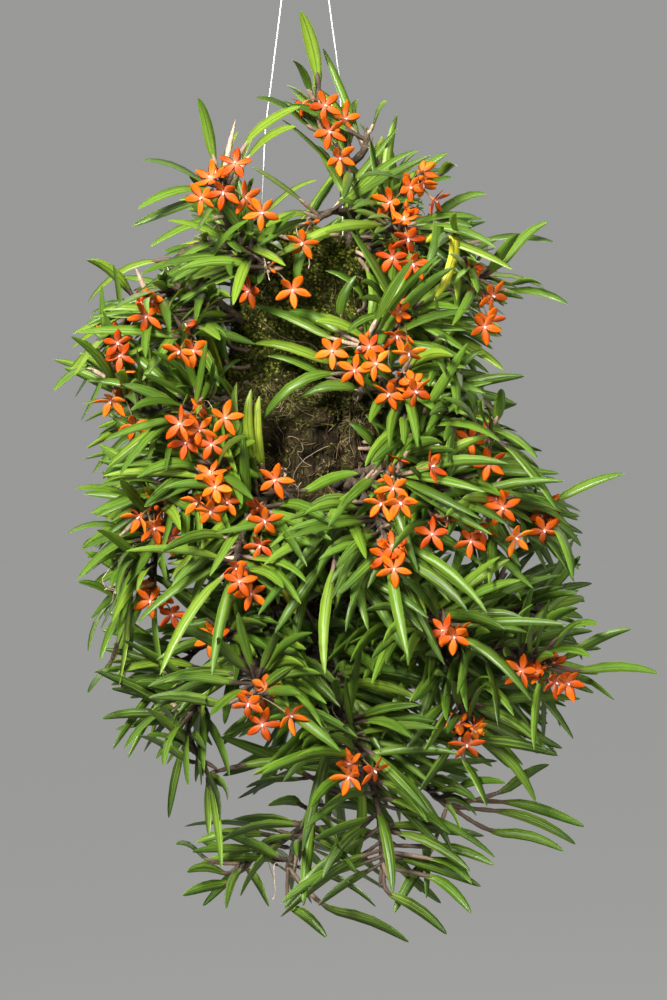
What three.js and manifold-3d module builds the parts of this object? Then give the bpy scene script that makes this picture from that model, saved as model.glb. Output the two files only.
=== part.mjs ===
// A specimen ceratostylis orchid grown on an upright fibrous slab that hangs on two thin wires.
// Millimetres, +Z up, the viewer stands at -Y. The origin is the inside top of the hanger's hook.

import * as THREE from "three";
import { mergeVertices } from "three/addons/utils/BufferGeometryUtils.js";
import Module from "manifold-3d";

const wasm = await Module();
wasm.setup();

// Driving dimensions
const wireRadius = 0.9;
const hookWireRadius = 1.3;
const hookInnerRadius = 10;
const slabTop = -414;
const slabBottom = -758;
const slabHalfDepth = 32;
const slabCentreX = 4;
const seatGap = 0.35;
const stemRootRadius = 4.8;
const stemTipRadius = 3.3;
const stemEndTurn = 9;
const stemStretch = 48;
const stemSides = 4;
const leafWidth = 9.4;
const leafThickness = 1.9;
const leafLength = 72;
const shootLength = 22;
const tepalLength = 17;
const tepalWidth = 6.6;
const tepalCount = 5;
const kneeDepth = 7;
const tuftLength = 9;
const viewDistance = 2600;
const viewCentreX = 26;
const viewCentreZ = -652;

const green = 0x4f8a2c;
const orange = 0xf0662a;
const fibreBrown = 0x4a3d22;
const zinc = 0xb9bfc4;

// The plant's outline from the front: height, left edge, right edge
const outline = [
  [-205, -12, 24], [-285, -100, 40], [-300, -104, 80], [-345, -150, 140], [-400, -152, 222],
  [-455, -205, 238], [-510, -228, 236], [-560, -228, 200], [-600, -208, 200], [-628, -202, 288],
  [-680, -214, 254], [-740, -205, 262], [-770, -200, 296], [-815, -196, 318], [-850, -192, 292],
  [-890, -166, 258], [-940, -122, 258], [-975, -120, 244], [-1010, -116, 165], [-1050, -14, 136],
  [-1062, 10, 110],
];

// Each spray: the arms of its creeping stem. An arm's points run from the slab, or from the arm it
// branches off, to its end, and flowers are the places of the blooms that open at that end.
const sprays = [
  { name: "crown", fill: 2, arms: [
    { path: [[36, -19, -438], [42, -20, -398], [41, -28, -354], [19, -26, -330], [12, -20, -300]],
      flowers: [[17, -298], [36, -309], [20, -318], [31, -344]] },
    { path: [[42, -20, -398], [26, -44, -392], [6, -62, -402]], flowers: [[-2, -421]] },
    { path: [[41, -28, -354], [54, -38, -336], [56, -40, -316]] }] },
  { name: "shoulder_left", fill: 6, arms: [
    { path: [[-36, -12, -458], [-60, -34, -428], [-70, -52, -398], [-73, -60, -366]],
      flowers: [[-62, -349], [-84, -362], [-74, -374], [-92, -380], [-54, -380], [-40, -392]] },
    { path: [[-60, -34, -428], [-48, -66, -428], [-32, -80, -442]],
      flowers: [[-50, -464], [-11, -463]] },
    { path: [[-60, -34, -428], [-92, -26, -424], [-120, -22, -440]] }] },
  { name: "top_right", fill: 5, arms: [
    { path: [[50, -8, -442], [66, -20, -412], [84, -46, -388], [98, -62, -366]],
      flowers: [[77, -384], [117, -382]] },
    { path: [[66, -20, -412], [74, -60, -408], [88, -88, -406]],
      flowers: [[93, -417], [79, -434], [97, -440]] },
    { path: [[66, -20, -412], [72, -8, -376], [80, -10, -344]] }] },
  { name: "right_arm", fill: 5, arms: [
    { path: [[50, 2, -470], [84, -8, -432], [118, -28, -402], [140, -44, -424], [153, -58, -456]],
      flowers: [[169, -467], [172, -485], [156, -492]] },
    { path: [[84, -8, -432], [116, -4, -452], [138, -6, -484]] }] },
  { name: "right_shoulder", fill: 7, arms: [
    { path: [[46, -16, -505], [74, -48, -492], [88, -84, -486]], flowers: [[84, -505], [93, -518]] },
    { path: [[74, -48, -492], [112, -56, -506], [140, -52, -536], [158, -50, -566]] },
    { path: [[74, -48, -492], [66, -88, -510], [52, -108, -514]],
      flowers: [[25, -518], [45, -535], [63, -529]] }] },
  { name: "right_mid", fill: 8, arms: [
    { path: [[46, -20, -556], [72, -58, -548], [86, -98, -540]], flowers: [[77, -556], [99, -554]] },
    { path: [[72, -58, -548], [118, -74, -568], [150, -82, -582], [166, -86, -594]],
      flowers: [[149, -598], [166, -619]] },
    { path: [[72, -58, -548], [96, -96, -582], [112, -116, -606]] }] },
  { name: "right_low", fill: 9, arms: [
    { path: [[46, -14, -612], [86, -46, -624], [130, -68, -636], [172, -88, -652]],
      flowers: [[159, -679], [149, -690], [190, -686], [178, -659]] },
    { path: [[130, -68, -636], [178, -44, -652], [212, -42, -664]], flowers: [[216, -678]] },
    { path: [[86, -46, -624], [118, -90, -650], [118, -112, -668]], flowers: [[115, -682]] }] },
  { name: "centre", fill: 10, arms: [
    { path: [[26, -22, -640], [42, -64, -630], [66, -108, -624], [80, -130, -630]],
      flowers: [[81, -640], [69, -655], [87, -654], [114, -622]] },
    { path: [[42, -64, -630], [62, -110, -664], [78, -130, -696]], flowers: [[80, -714]] },
    { path: [[42, -64, -630], [30, -104, -672], [28, -122, -716]] }] },
  { name: "left_shoulder", fill: 7, arms: [
    { path: [[-46, -6, -500], [-80, -28, -474], [-114, -44, -462], [-138, -50, -474]],
      flowers: [[-142, -487]] },
    { path: [[-80, -28, -474], [-98, -66, -484], [-103, -74, -506]],
      flowers: [[-101, -518], [-114, -519]] },
    { path: [[-114, -44, -462], [-146, -22, -480], [-164, -26, -502]],
      flowers: [[-167, -523], [-170, -510]] }] },
  { name: "left_mid", fill: 7, arms: [
    { path: [[-46, -4, -556], [-84, -16, -566], [-134, -26, -574], [-158, -32, -564], [-168, -40, -546]],
      flowers: [[-175, -563], [-153, -585]] },
    { path: [[-84, -16, -566], [-94, -58, -568], [-100, -88, -576]],
      flowers: [[-94, -588], [-104, -598], [-84, -602], [-112, -584], [-72, -578]] }] },
  { name: "left_low", fill: 11, arms: [
    { path: [[-44, -14, -606], [-70, -50, -616], [-84, -86, -632]],
      flowers: [[-81, -640], [-92, -650], [-70, -654], [-84, -662]] },
    { path: [[-70, -50, -616], [-108, -52, -640], [-136, -50, -660]],
      flowers: [[-135, -676], [-120, -686], [-148, -668]] },
    { path: [[-108, -52, -640], [-132, -30, -690], [-134, -34, -730]],
      flowers: [[-138, -743], [-119, -755]] },
    { path: [[-132, -30, -690], [-158, -10, -716], [-160, -6, -760]] }] },
  { name: "left_front", fill: 10, arms: [
    { path: [[-26, -22, -650], [-36, -64, -652], [-38, -102, -660]],
      flowers: [[-36, -670], [-40, -693]] },
    { path: [[-36, -64, -652], [-56, -92, -682], [-62, -112, -712]],
      flowers: [[-60, -724], [-48, -736]] },
    { path: [[-36, -64, -652], [-22, -86, -640], [-20, -96, -626]], flowers: [[-27, -633]] }] },
  { name: "low_left", fill: 12, arms: [
    { path: [[-16, -10, -740], [-38, -26, -768], [-72, -44, -772]], flowers: [[-83, -777]] },
    { path: [[-38, -26, -768], [-42, -72, -800], [-44, -112, -826]],
      flowers: [[-50, -836], [-38, -854], [-13, -846]] },
    { path: [[-38, -26, -768], [-82, -18, -812], [-104, -20, -858], [-84, -26, -900]] }] },
  { name: "low_right", fill: 13, arms: [
    { path: [[28, -8, -738], [62, -26, -758], [122, -50, -778], [178, -58, -790], [214, -62, -800]],
      flowers: [[196, -806], [226, -815], [236, -820]] },
    { path: [[122, -50, -778], [140, -52, -826], [143, -58, -858]], flowers: [[145, -872]] },
    { path: [[62, -26, -758], [100, -84, -760], [128, -106, -766]], flowers: [[135, -776]] },
    { path: [[122, -50, -778], [170, -16, -752], [218, -12, -752]] }] },
  { name: "low_centre", fill: 15, arms: [
    { path: [[8, -8, -750], [20, -34, -800], [36, -58, -848], [50, -76, -884]],
      flowers: [[41, -902], [62, -896]] },
    { path: [[36, -58, -848], [64, -38, -920], [70, -30, -988]] }] },
  { name: "tails", fill: 12, arms: [
    { path: [[0, 8, -748], [6, 6, -812], [14, -6, -910], [-18, -12, -984]] },
    { path: [[6, 6, -812], [50, 12, -868], [100, 4, -904], [132, -8, -930]] },
    { path: [[14, -6, -910], [-6, 16, -950], [-60, 12, -984]] }] },
  { name: "back_top", fill: 10, arms: [
    { path: [[0, 12, -448], [4, 50, -424], [24, 88, -428], [52, 112, -450]],
      flowers: [[60, -462], [40, -470]] },
    { path: [[4, 50, -424], [-34, 76, -424], [-70, 92, -452]] },
    { path: [[24, 88, -428], [84, 82, -450], [112, 72, -490]] }] },
  { name: "back_left", fill: 11, arms: [
    { path: [[-24, 16, -560], [-48, 56, -556], [-84, 92, -572], [-104, 108, -612]],
      flowers: [[-112, -626], [-96, -634]] },
    { path: [[-48, 56, -556], [-112, 50, -560], [-154, 46, -592]] },
    { path: [[-84, 92, -572], [-52, 132, -600], [-40, 142, -654]] }] },
  { name: "back_right", fill: 12, arms: [
    { path: [[26, 16, -580], [52, 56, -572], [92, 90, -586], [120, 104, -626]],
      flowers: [[130, -640], [112, -650]] },
    { path: [[52, 56, -572], [118, 44, -590], [170, 36, -620]] },
    { path: [[92, 90, -586], [52, 132, -620], [34, 146, -672]] }] },
  { name: "back_low", fill: 16, arms: [
    { path: [[2, 14, -720], [0, 58, -742], [-36, 98, -772], [-60, 112, -822]] },
    { path: [[0, 58, -742], [52, 96, -774], [84, 108, -826]] },
    { path: [[-36, 98, -772], [-96, 62, -786], [-124, 44, -832]] },
    { path: [[52, 96, -774], [124, 62, -782], [168, 44, -826]] },
    { path: [[0, 58, -742], [6, 84, -830], [20, 74, -900]] }] },
];

// Leaves whose place is plain from the front, as tip x, tip z, base x, base z
const leadLeaves = [
  [-4, -212, 13, -272], [-11, -256, 5, -286], [-16, -279, 9, -300], [-44, -290, 6, -320], [74, -294, 60, -322],
  [49, -312, 66, -352], [103, -338, 76, -372], [132, -362, 86, -380], [137, -352, 122, -362],
  [-96, -290, -82, -346], [-147, -346, -90, -368], [-150, -390, -92, -372], [-139, -424, -76, -398],
  [-117, -438, -68, -416], [-99, -371, -54, -412], [-4, -298, -56, -330], [-8, -316, -52, -344],
  [11, -364, -38, -398], [-196, -436, -156, -466], [-172, -440, -178, -502], [-158, -478, -172, -494],
  [-198, -508, -166, -548], [-226, -554, -190, -533], [-199, -566, -166, -590], [-106, -526, -122, -482],
  [-58, -526, -86, -554], [-206, -642, -152, -650], [-182, -637, -132, -635], [-213, -682, -158, -680],
  [-200, -696, -144, -682], [-198, -698, -144, -730], [-204, -726, -160, -748], [-184, -796, -148, -748],
  [-195, -826, -174, -803], [-140, -830, -70, -840], [-162, -876, -124, -842], [-150, -864, -104, -890],
  [-98, -906, -84, -846], [-86, -954, -54, -922], [219, -402, 174, -448], [193, -412, 164, -454],
  [171, -426, 150, -448], [237, -476, 180, -466], [214, -458, 186, -462], [112, -394, 104, -450],
  [128, -410, 118, -470], [140, -497, 90, -546], [162, -556, 95, -546], [10, -491, 66, -522],
  [126, -572, 84, -618], [165, -594, 88, -635], [177, -552, 173, -584], [145, -554, 172, -594],
  [48, -628, -2, -648], [0, -662, 60, -652], [288, -628, 224, -654], [209, -640, 210, -662],
  [246, -684, 174, -710], [240, -726, 254, -756], [294, -768, 232, -798], [264, -764, 224, -778],
  [182, -736, 240, -752], [196, -754, 246, -761], [246, -749, 206, -772], [318, -808, 244, -808],
  [279, -832, 254, -813], [48, -866, -36, -836], [32, -898, -56, -890], [91, -958, 32, -914],
  [137, -922, 72, -895], [169, -892, 98, -862], [228, -882, 148, -868], [220, -890, 178, -918],
  [252, -946, 182, -924], [244, -962, 174, -930], [233, -968, 166, -954], [164, -928, 140, -884],
  [171, -981, 116, -964], [150, -997, 120, -976], [150, -1024, 112, -990], [80, -1024, 112, -976],
  [128, -1043, 68, -1006], [94, -1050, 14, -1022], [20, -1046, -18, -1018], [-116, -962, -88, -980],
  [-106, -987, -68, -992], [-110, -1008, -64, -998], [-32, -1018, -68, -990], [-78, -951, -20, -976],
];

const slabProfile = [
  [slabTop, 28], [-422, 46], [-446, 52], [-500, 60], [-560, 63], [-600, 61], [-650, 57], [-700, 50],
  [-738, 38], [slabBottom, 22],
];
const slabShapePower = 2.5;

const vec = (x, y, z) => new THREE.Vector3(x, y, z);

// An even random number from 0 to 1, with its own series for each seed
function draws(seed) {
  let state = seed >>> 0;
  return () => {
    state = (state + 0x6d2b79f5) >>> 0;
    let mixed = state;
    mixed = Math.imul(mixed ^ (mixed >>> 15), mixed | 1);
    mixed ^= mixed + Math.imul(mixed ^ (mixed >>> 7), mixed | 61);
    return ((mixed ^ (mixed >>> 14)) >>> 0) / 4294967296;
  };
}

// A value read between the rows of a table whose first column falls
function between(table, at, column) {
  for (let row = 1; row < table.length; row += 1) {
    if (at >= table[row][0]) {
      const [upper, lower] = [table[row - 1], table[row]];
      const share = Math.min(1, Math.max(0, (upper[0] - at) / (upper[0] - lower[0])));
      return upper[column] + (lower[column] - upper[column]) * share;
    }
  }
  return table[table.length - 1][column];
}

// The true place of a point seen at x and z from the front, at depth y
function seen(x, y, z) {
  const nearness = 1 + y / viewDistance;
  return vec(viewCentreX + (x - viewCentreX) * nearness, y, viewCentreZ + (z - viewCentreZ) * nearness);
}

// A point on a smooth line through the points
function smoothPoint(points, share) {
  const spans = points.length - 1;
  const span = Math.min(spans - 1, Math.floor(share * spans));
  const t = share * spans - span;
  const p1 = points[span];
  const p2 = points[span + 1];
  const p0 = span > 0 ? points[span - 1] : p1.clone().multiplyScalar(2).sub(p2);
  const p3 = span < spans - 1 ? points[span + 2] : p2.clone().multiplyScalar(2).sub(p1);
  const blend = (a, b, c, d) => {
    const square = (2 * a - 5 * b + 4 * c - d) * t * t;
    return 0.5 * (2 * b + (c - a) * t + square + (3 * b - a - 3 * c + d) * t * t * t);
  };
  return vec(blend(p0.x, p1.x, p2.x, p3.x), blend(p0.y, p1.y, p2.y, p3.y), blend(p0.z, p1.z, p2.z, p3.z));
}

// The point and the heading at a distance along a chain of straight stretches
function alongChain(chain, distance) {
  let left = distance;
  for (let index = 1; index < chain.length; index += 1) {
    const stretch = chain[index].distanceTo(chain[index - 1]);
    if (left <= stretch || index === chain.length - 1) {
      const heading = chain[index].clone().sub(chain[index - 1]).normalize();
      const point = chain[index - 1].clone().addScaledVector(heading, Math.min(left, stretch));
      return { point, heading };
    }
    left -= stretch;
  }
  return null;
}

// A closed body through rings of equally many points, with flat ends or a pointed tip
function loft(rings, tip) {
  const count = rings[0].length;
  const places = rings.flat();
  const faces = [];
  for (let ring = 0; ring < rings.length - 1; ring += 1) {
    for (let side = 0; side < count; side += 1) {
      const a = ring * count + side;
      const b = ring * count + ((side + 1) % count);
      faces.push(a, b, b + count, a, b + count, a + count);
    }
  }
  const last = (rings.length - 1) * count;
  for (let side = 0; side < count; side += 1) {
    if (tip) {
      faces.push(last + side, last + ((side + 1) % count), rings.length * count);
    } else if (side > 0 && side < count - 1) {
      faces.push(last, last + side, last + side + 1);
    }
    if (side > 0 && side < count - 1) {
      faces.push(0, side + 1, side);
    }
  }
  return meshOf(tip ? [...places, tip] : places, faces);
}

function meshOf(places, faces) {
  const geometry = new THREE.BufferGeometry();
  const numbers = places.flatMap((point) => [point.x, point.y, point.z]);
  geometry.setAttribute("position", new THREE.Float32BufferAttribute(numbers, 3));
  geometry.setIndex(faces);
  return geometry;
}

// The volume inside a closed mesh, which is negative where its faces point inwards
function signedVolume(places, corners) {
  let sixfold = 0;
  const corner = (index) => vec(places[3 * index], places[3 * index + 1], places[3 * index + 2]);
  for (let face = 0; face < corners.length; face += 3) {
    const [a, b, c] = [corner(corners[face]), corner(corners[face + 1]), corner(corners[face + 2])];
    sixfold += a.dot(b.cross(c));
  }
  return sixfold / 6;
}

function toSolid(geometry) {
  const merged = mergeVertices(geometry, 1e-4);
  const vertProperties = new Float32Array(merged.attributes.position.array);
  const triVerts = new Uint32Array(merged.index.array);
  if (signedVolume(vertProperties, triVerts) < 0) {
    triVerts.reverse();
  }
  return new wasm.Manifold(new wasm.Mesh({ numProp: 3, vertProperties, triVerts }));
}

function toGeometry(solid) {
  const { vertProperties, triVerts } = solid.getMesh();
  const geometry = new THREE.BufferGeometry();
  geometry.setAttribute("position", new THREE.Float32BufferAttribute(Array.from(vertProperties), 3));
  geometry.setIndex(Array.from(triVerts));
  return geometry;
}

// Rings round a chain of points, each turned on from the one before so that the tube doesn't twist
function tubeRings(chain, radii, sides) {
  let across = vec(0.31, 0.17, 0.94);
  return chain.map((centre, index) => {
    const ahead = chain[Math.min(chain.length - 1, index + 1)];
    const behind = chain[Math.max(0, index - 1)];
    const heading = ahead.clone().sub(behind).normalize();
    across = across.clone().addScaledVector(heading, -across.dot(heading)).normalize();
    const over = vec(0, 0, 0).crossVectors(heading, across);
    return Array.from({ length: sides }, (_, side) => {
      const angle = (2 * Math.PI * side) / sides;
      const point = centre.clone().addScaledVector(across, radii[index] * Math.cos(angle));
      return point.addScaledVector(over, radii[index] * Math.sin(angle));
    });
  });
}

const group = new THREE.Group();

// A loose scrap that joining leaves behind is dropped
function wholeBody(solid) {
  return solid.decompose().reduce((best, body) => (body.volume() > best.volume() ? body : best));
}

function addPiece(name, solid, colour, roughness, metalness = 0) {
  const material = new THREE.MeshStandardMaterial({ color: colour, roughness, metalness });
  const mesh = new THREE.Mesh(toGeometry(wholeBody(solid)), material);
  mesh.name = name;
  group.add(mesh);
}

// The slab is a flattened upright block, ribbed by fibre bundles, with hollows in front
const slabHollows = [[12, -592, 13, 10], [4, -613, 12, 9], [-24, -600, 14, 8]];

function slabRelief(angle, z) {
  let relief = 2.6 * Math.sin(5 * angle + 0.031 * z) + 2 * Math.sin(7 * angle - 0.043 * z);
  relief += 2.4 * Math.sin(0.071 * z + 2 * angle);
  if (Math.cos(angle) > 0) {
    for (const [x, height, reach, depth] of slabHollows) {
      const away = (60 * Math.sin(angle) - x) ** 2 + (z - height) ** 2;
      relief -= depth * Math.exp(-away / reach ** 2);
    }
  }
  return relief;
}

function slabHalves(z) {
  const halfWidth = between(slabProfile, z, 1);
  return { halfWidth, halfDepth: Math.min(slabHalfDepth, 0.8 * halfWidth) };
}

function slabPoint(angle, z) {
  const { halfWidth, halfDepth } = slabHalves(z);
  const relief = slabRelief(angle, z) * Math.min(1, halfWidth / 50);
  const [sine, cosine] = [Math.sin(angle), Math.cos(angle)];
  const x = Math.sign(sine) * (halfWidth + relief) * Math.abs(sine) ** (2 / slabShapePower);
  const y = -Math.sign(cosine) * (halfDepth + relief) * Math.abs(cosine) ** (2 / slabShapePower);
  return vec(slabCentreX + x, y, z);
}

function inSlab(point, margin) {
  if (point.z > slabTop + margin || point.z < slabBottom - margin) {
    return false;
  }
  const { halfWidth, halfDepth } = slabHalves(point.z);
  const acrossShare = Math.abs(point.x - slabCentreX) / (halfWidth + margin);
  const depthShare = Math.abs(point.y) / (halfDepth + margin);
  return acrossShare ** slabShapePower + depthShare ** slabShapePower < 1;
}

// What later growth stays clear of: each part that is placed, as a run of balls in a round region
const placedParts = [];

function region(balls) {
  const centre = vec(0, 0, 0);
  balls.forEach(({ point }) => centre.addScaledVector(point, 1 / balls.length));
  const reach = Math.max(...balls.map(({ point, radius }) => point.distanceTo(centre) + radius));
  return { centre, reach, balls };
}

function place(owner, sort, balls) {
  placedParts.push({ owner, sort, ...region(balls) });
}

function ballsAt(points, radius) {
  return points.map((point) => ({ point, radius }));
}

// The least room between these balls and all that is placed. A leaf touches the stem that it grows
// from along its first stretch, and its neighbours on that stem at its very root.
const freeRun = { stem: 26, leaf: 9, bloom: 0, wire: 0 };

function room(balls, owner) {
  const { centre, reach } = region(balls);
  let least = 99;
  for (const part of placedParts) {
    if (part.centre.distanceTo(centre) > part.reach + reach + 2) {
      continue;
    }
    for (const ball of balls) {
      if (part.owner !== owner || ball.run > freeRun[part.sort]) {
        for (const other of part.balls) {
          least = Math.min(least, ball.point.distanceTo(other.point) - ball.radius - other.radius);
        }
      }
    }
  }
  return least;
}

// The hanger: an S-shaped hook, and two wires whose small crooks hang side by side in its lower crook
const hookCentreZ = -hookInnerRadius;
const lowerCrookRadius = 6.5;
const lowerCrookZ = -41;
const wireCrookRadius = hookWireRadius + seatGap + 0.1 + wireRadius;

function arcPoints(centreZ, radius, from, to, count) {
  return Array.from({ length: count + 1 }, (_, step) => {
    const angle = THREE.MathUtils.degToRad(from + ((to - from) * step) / count);
    return vec(radius * Math.cos(angle), 0, centreZ + radius * Math.sin(angle));
  });
}

function wireSolid(chain, radius, sides) {
  return toSolid(loft(tubeRings(chain, chain.map(() => radius), sides)));
}

const hookChain = [
  ...arcPoints(hookCentreZ, hookInnerRadius + hookWireRadius, 205, -45, 9),
  vec(1.2, 0, -24.5),
  vec(-4.6, 0, -33),
  ...arcPoints(lowerCrookZ, lowerCrookRadius, 180, 375, 7),
];
addPiece("hanger_hook", wireSolid(hookChain, hookWireRadius, 6), zinc, 0.35, 0.9);

function legChain(shift, lowerPoints) {
  const crookZ = lowerCrookZ - lowerCrookRadius + 0.15;
  const crook = [160, 125, 90, 55, 20, -10].map((degrees) => {
    const angle = THREE.MathUtils.degToRad(degrees);
    return vec(shift, -wireCrookRadius * Math.cos(angle), crookZ + wireCrookRadius * Math.sin(angle));
  });
  return [...crook, ...lowerPoints];
}

const legs = [
  { name: "left", chain: legChain(-1.3, [vec(-3.5, -2, -66), vec(-35, 0, -316), vec(-39, 0, -392),
    vec(-40, 0, -452)]) },
  { name: "right", chain: legChain(1.3, [vec(3.5, -2, -66), vec(32, 0, -278), vec(34, 0, -374),
    vec(35, 0, -440)]) },
];
for (const { name, chain } of legs) {
  addPiece(`hanger_leg_${name}`, wireSolid(chain, wireRadius, 6), zinc, 0.35, 0.9);
  for (let start = 60; start < 440; start += 40) {
    const stretch = Array.from({ length: 9 }, (_, step) => alongChain(chain, start + 5 * step).point);
    place("hanger", "wire", ballsAt(stretch, wireRadius));
  }
}

// The arms of each spray as chains of straight stretches that pass through the points of its path
for (const spray of sprays) {
  const joints = new Map();
  spray.leaves = [];
  spray.arms.forEach((arm, number) => {
    const points = arm.path.map(([x, y, z]) => (Math.abs(y) > 34 ? seen(x, y, z) : vec(x, y, z)));
    arm.chain = [joints.get(arm.path[0].join()) ?? points[0]];
    for (let span = 0; span < points.length - 1; span += 1) {
      const apart = points[span].distanceTo(points[span + 1]);
      const parts = number === 0 && span === 0 ? 1 : Math.ceil(apart / stemStretch);
      for (let part = 1; part <= parts; part += 1) {
        arm.chain.push(smoothPoint(points, (span + part / parts) / (points.length - 1)));
      }
      joints.set(arm.path[span + 1].join(), arm.chain[arm.chain.length - 1]);
    }
    if (arm.flowers) {
      // The stem's end turns outwards under its flowers
      const end = arm.chain.at(-1);
      arm.chain.push(end.clone().add(vec(0, (Math.sign(end.y) || -1) * stemEndTurn, -1)));
    }
    arm.length = 0;
    arm.distances = arm.chain.map((point, index) => {
      arm.length += index > 0 ? point.distanceTo(arm.chain[index - 1]) : 0;
      return arm.length;
    });
    const thick = number === 0 ? stemRootRadius : stemRootRadius - 0.7;
    arm.radii = arm.distances.map((run) => thick + ((stemTipRadius - thick) * run) / arm.length);
    const steps = Math.ceil(arm.length / 5);
    arm.fine = Array.from({ length: steps + 1 }, (_, step) =>
      alongChain(arm.chain, (arm.length * step) / steps));
    for (let start = 0; start < steps; start += 8) {
      const stretch = arm.fine.slice(start, start + 9).map(({ point }) => point);
      place(spray.name, "stem", ballsAt(stretch, stemRootRadius));
    }
    if (arm.flowers) {
      const { point, heading } = alongChain(arm.chain, arm.length);
      arm.heart = point.addScaledVector(heading, tuftLength / 2 - 0.5);
      place("tuft", "bloom", [{ point: arm.heart, radius: tuftLength / 2 + 0.3 }]);
    }
  });
}

// Outward from the slab's upright axis, level
function outward(point) {
  return vec(point.x - slabCentreX, point.y, 0).normalize();
}

// A leaf with its sheathed shoot runs from its stem over its base to its tip, arched by its bow
function leafPoint(leaf, share) {
  if (share < leaf.shootShare) {
    return leaf.root.clone().lerp(leaf.base, share / leaf.shootShare);
  }
  const t = (share - leaf.shootShare) / (1 - leaf.shootShare);
  return leaf.base.clone().lerp(leaf.tip, t).addScaledVector(leaf.bow, 4 * t * (1 - t));
}

function bladeShareOf(leaf, share) {
  return Math.max(0, (share - leaf.shootShare) / (1 - leaf.shootShare));
}

// The leaf's middle, its width's direction and the direction of its upper face at a share of its way
function leafFrame(leaf, share) {
  const centre = leafPoint(leaf, share);
  const ahead = leafPoint(leaf, Math.min(1, share + 0.04));
  const heading = ahead.sub(leafPoint(leaf, Math.max(0, share - 0.04))).normalize();
  const across = leaf.side.clone().addScaledVector(heading, -leaf.side.dot(heading)).normalize();
  const face = vec(0, 0, 0).crossVectors(across, heading).normalize();
  return { centre, across, face };
}

// How often each part of the growth looks for a free place, and the first of its seeds
const leadAttempts = 80;
const flowerAttempts = 48;
const fillAttempts = 30;
const leadSeed = 900001;
const flowerSeed = 5003;
const fillSeed = 70001;

const leafSteps = 17;
const leafClearance = 0.9;
const slabClearance = 9;

// The way of the leaf's width, level with the face that looks up and out
function leafSide(leaf, up) {
  const way = leaf.tip.clone().sub(leaf.root).normalize();
  const side = vec(0, 0, 0).crossVectors(way, up);
  if (side.length() < 0.35) {
    side.crossVectors(way, vec(0.2, -1, 0.1));
  }
  return side.normalize();
}

// Two rows of balls that fill the blade's width
function leafBalls(leaf) {
  const shoot = leaf.root.distanceTo(leaf.base);
  leaf.length = shoot + leaf.base.distanceTo(leaf.tip);
  leaf.shootShare = shoot / leaf.length;
  const balls = [];
  for (let step = 0; step <= leafSteps; step += 1) {
    const share = step / leafSteps;
    const { centre, across } = leafFrame(leaf, share);
    const bladeShare = bladeShareOf(leaf, share);
    const halfWidth = (leafWidth / 2) * Math.min(1, 0.4 + 2.4 * bladeShare, 0.2 + 4 * (1 - bladeShare));
    for (const side of [-0.5, 0.5]) {
      const point = centre.clone().addScaledVector(across, side * halfWidth);
      balls.push({ point, radius: Math.max(halfWidth / 2, 1.2), run: share * leaf.length });
    }
  }
  return balls;
}

function tryLeaf(leaf, spray, allowed) {
  const balls = leafBalls(leaf);
  const blade = balls.slice(8);
  if (blade.some(({ point }) => inSlab(point, slabClearance)) || !allowed(blade)) {
    return false;
  }
  if (room(balls, spray.name) < leafClearance) {
    return false;
  }
  spray.leaves.push(leaf);
  place(spray.name, "leaf", balls);
  return true;
}

const frontArms = sprays.filter(({ name }) => !name.startsWith("back")).flatMap((spray) =>
  spray.arms.map((arm) => ({ spray, arm })));

// The stem that carries a leaf is near it in the view from the front, and behind it in its own line
function carrierOf(baseX, baseZ, tipX, tipZ) {
  let carrier = { cost: Infinity };
  for (const { spray, arm } of frontArms) {
    arm.fine.slice(4, arm.flowers ? -3 : -1).forEach(({ point }, index) => {
      const look = seen(baseX, point.y, baseZ);
      const [shootX, shootZ] = [look.x - point.x, look.z - point.z];
      const [bladeX, bladeZ] = [tipX - baseX, tipZ - baseZ];
      const apart = Math.hypot(shootX, shootZ);
      const inLine = (shootX * bladeX + shootZ * bladeZ) / (apart * Math.hypot(bladeX, bladeZ) + 1);
      const cost = apart * (1.6 - 0.6 * inLine);
      if (cost < carrier.cost) {
        carrier = { spray, arm, cost, step: index + 4 };
      }
    });
  }
  return carrier;
}

// A shoot that would fold back on its own blade is cut to a short one in the blade's line
function unfold(root, base, tip) {
  const blade = tip.clone().sub(base).normalize();
  const shoot = base.clone().sub(root);
  if (shoot.length() > 6 && shoot.clone().normalize().dot(blade) > 0.2) {
    return base;
  }
  return root.clone().addScaledVector(tip.clone().sub(root).normalize(), 9);
}

leadLeaves.forEach(([tipX, tipZ, baseX, baseZ], number) => {
  const { spray, arm, step } = carrierOf(baseX, baseZ, tipX, tipZ);
  const flat = Math.hypot(tipX - baseX, tipZ - baseZ);
  const lean = 0.6 * Math.sqrt(Math.max(0, leafLength ** 2 - flat ** 2));
  for (let attempt = 0; attempt < leadAttempts; attempt += 1) {
    const draw = draws(leadSeed + number * 101 + attempt);
    const freedom = 0.1 + attempt / 50;
    const { point } = arm.fine[Math.max(3, step - Math.floor(draw() * freedom * 7))];
    const depth = point.y - 3 + (draw() - 0.5) * 40 * freedom;
    const shift = vec((draw() - 0.5) * 8 * freedom, 0, (draw() - 0.5) * 8 * freedom);
    const tip = seen(tipX, depth - lean + (draw() - 0.5) * 70 * freedom, tipZ);
    const base = unfold(point, seen(baseX, depth, baseZ).add(shift), tip);
    const bow = vec((draw() - 0.5) * 12 * freedom, (draw() - 0.5) * 30 * freedom, 3 + 5 * draw());
    const up = outward(base).multiplyScalar(0.7).add(vec((draw() - 0.5) * freedom, -0.3, 0.6));
    const leaf = { root: point, base, tip, bow };
    leaf.side = leafSide(leaf, up);
    if (tryLeaf(leaf, spray, () => true)) {
      return;
    }
  }
});

// Each flower: five pointed tepals with a raised midline, drawn down behind into its stalk
function flowerFrame(flower) {
  const across = vec(0, 0, 0).crossVectors(flower.facing, vec(0.2, 0.1, 1)).normalize();
  return { across, over: vec(0, 0, 0).crossVectors(across, flower.facing) };
}

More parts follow.
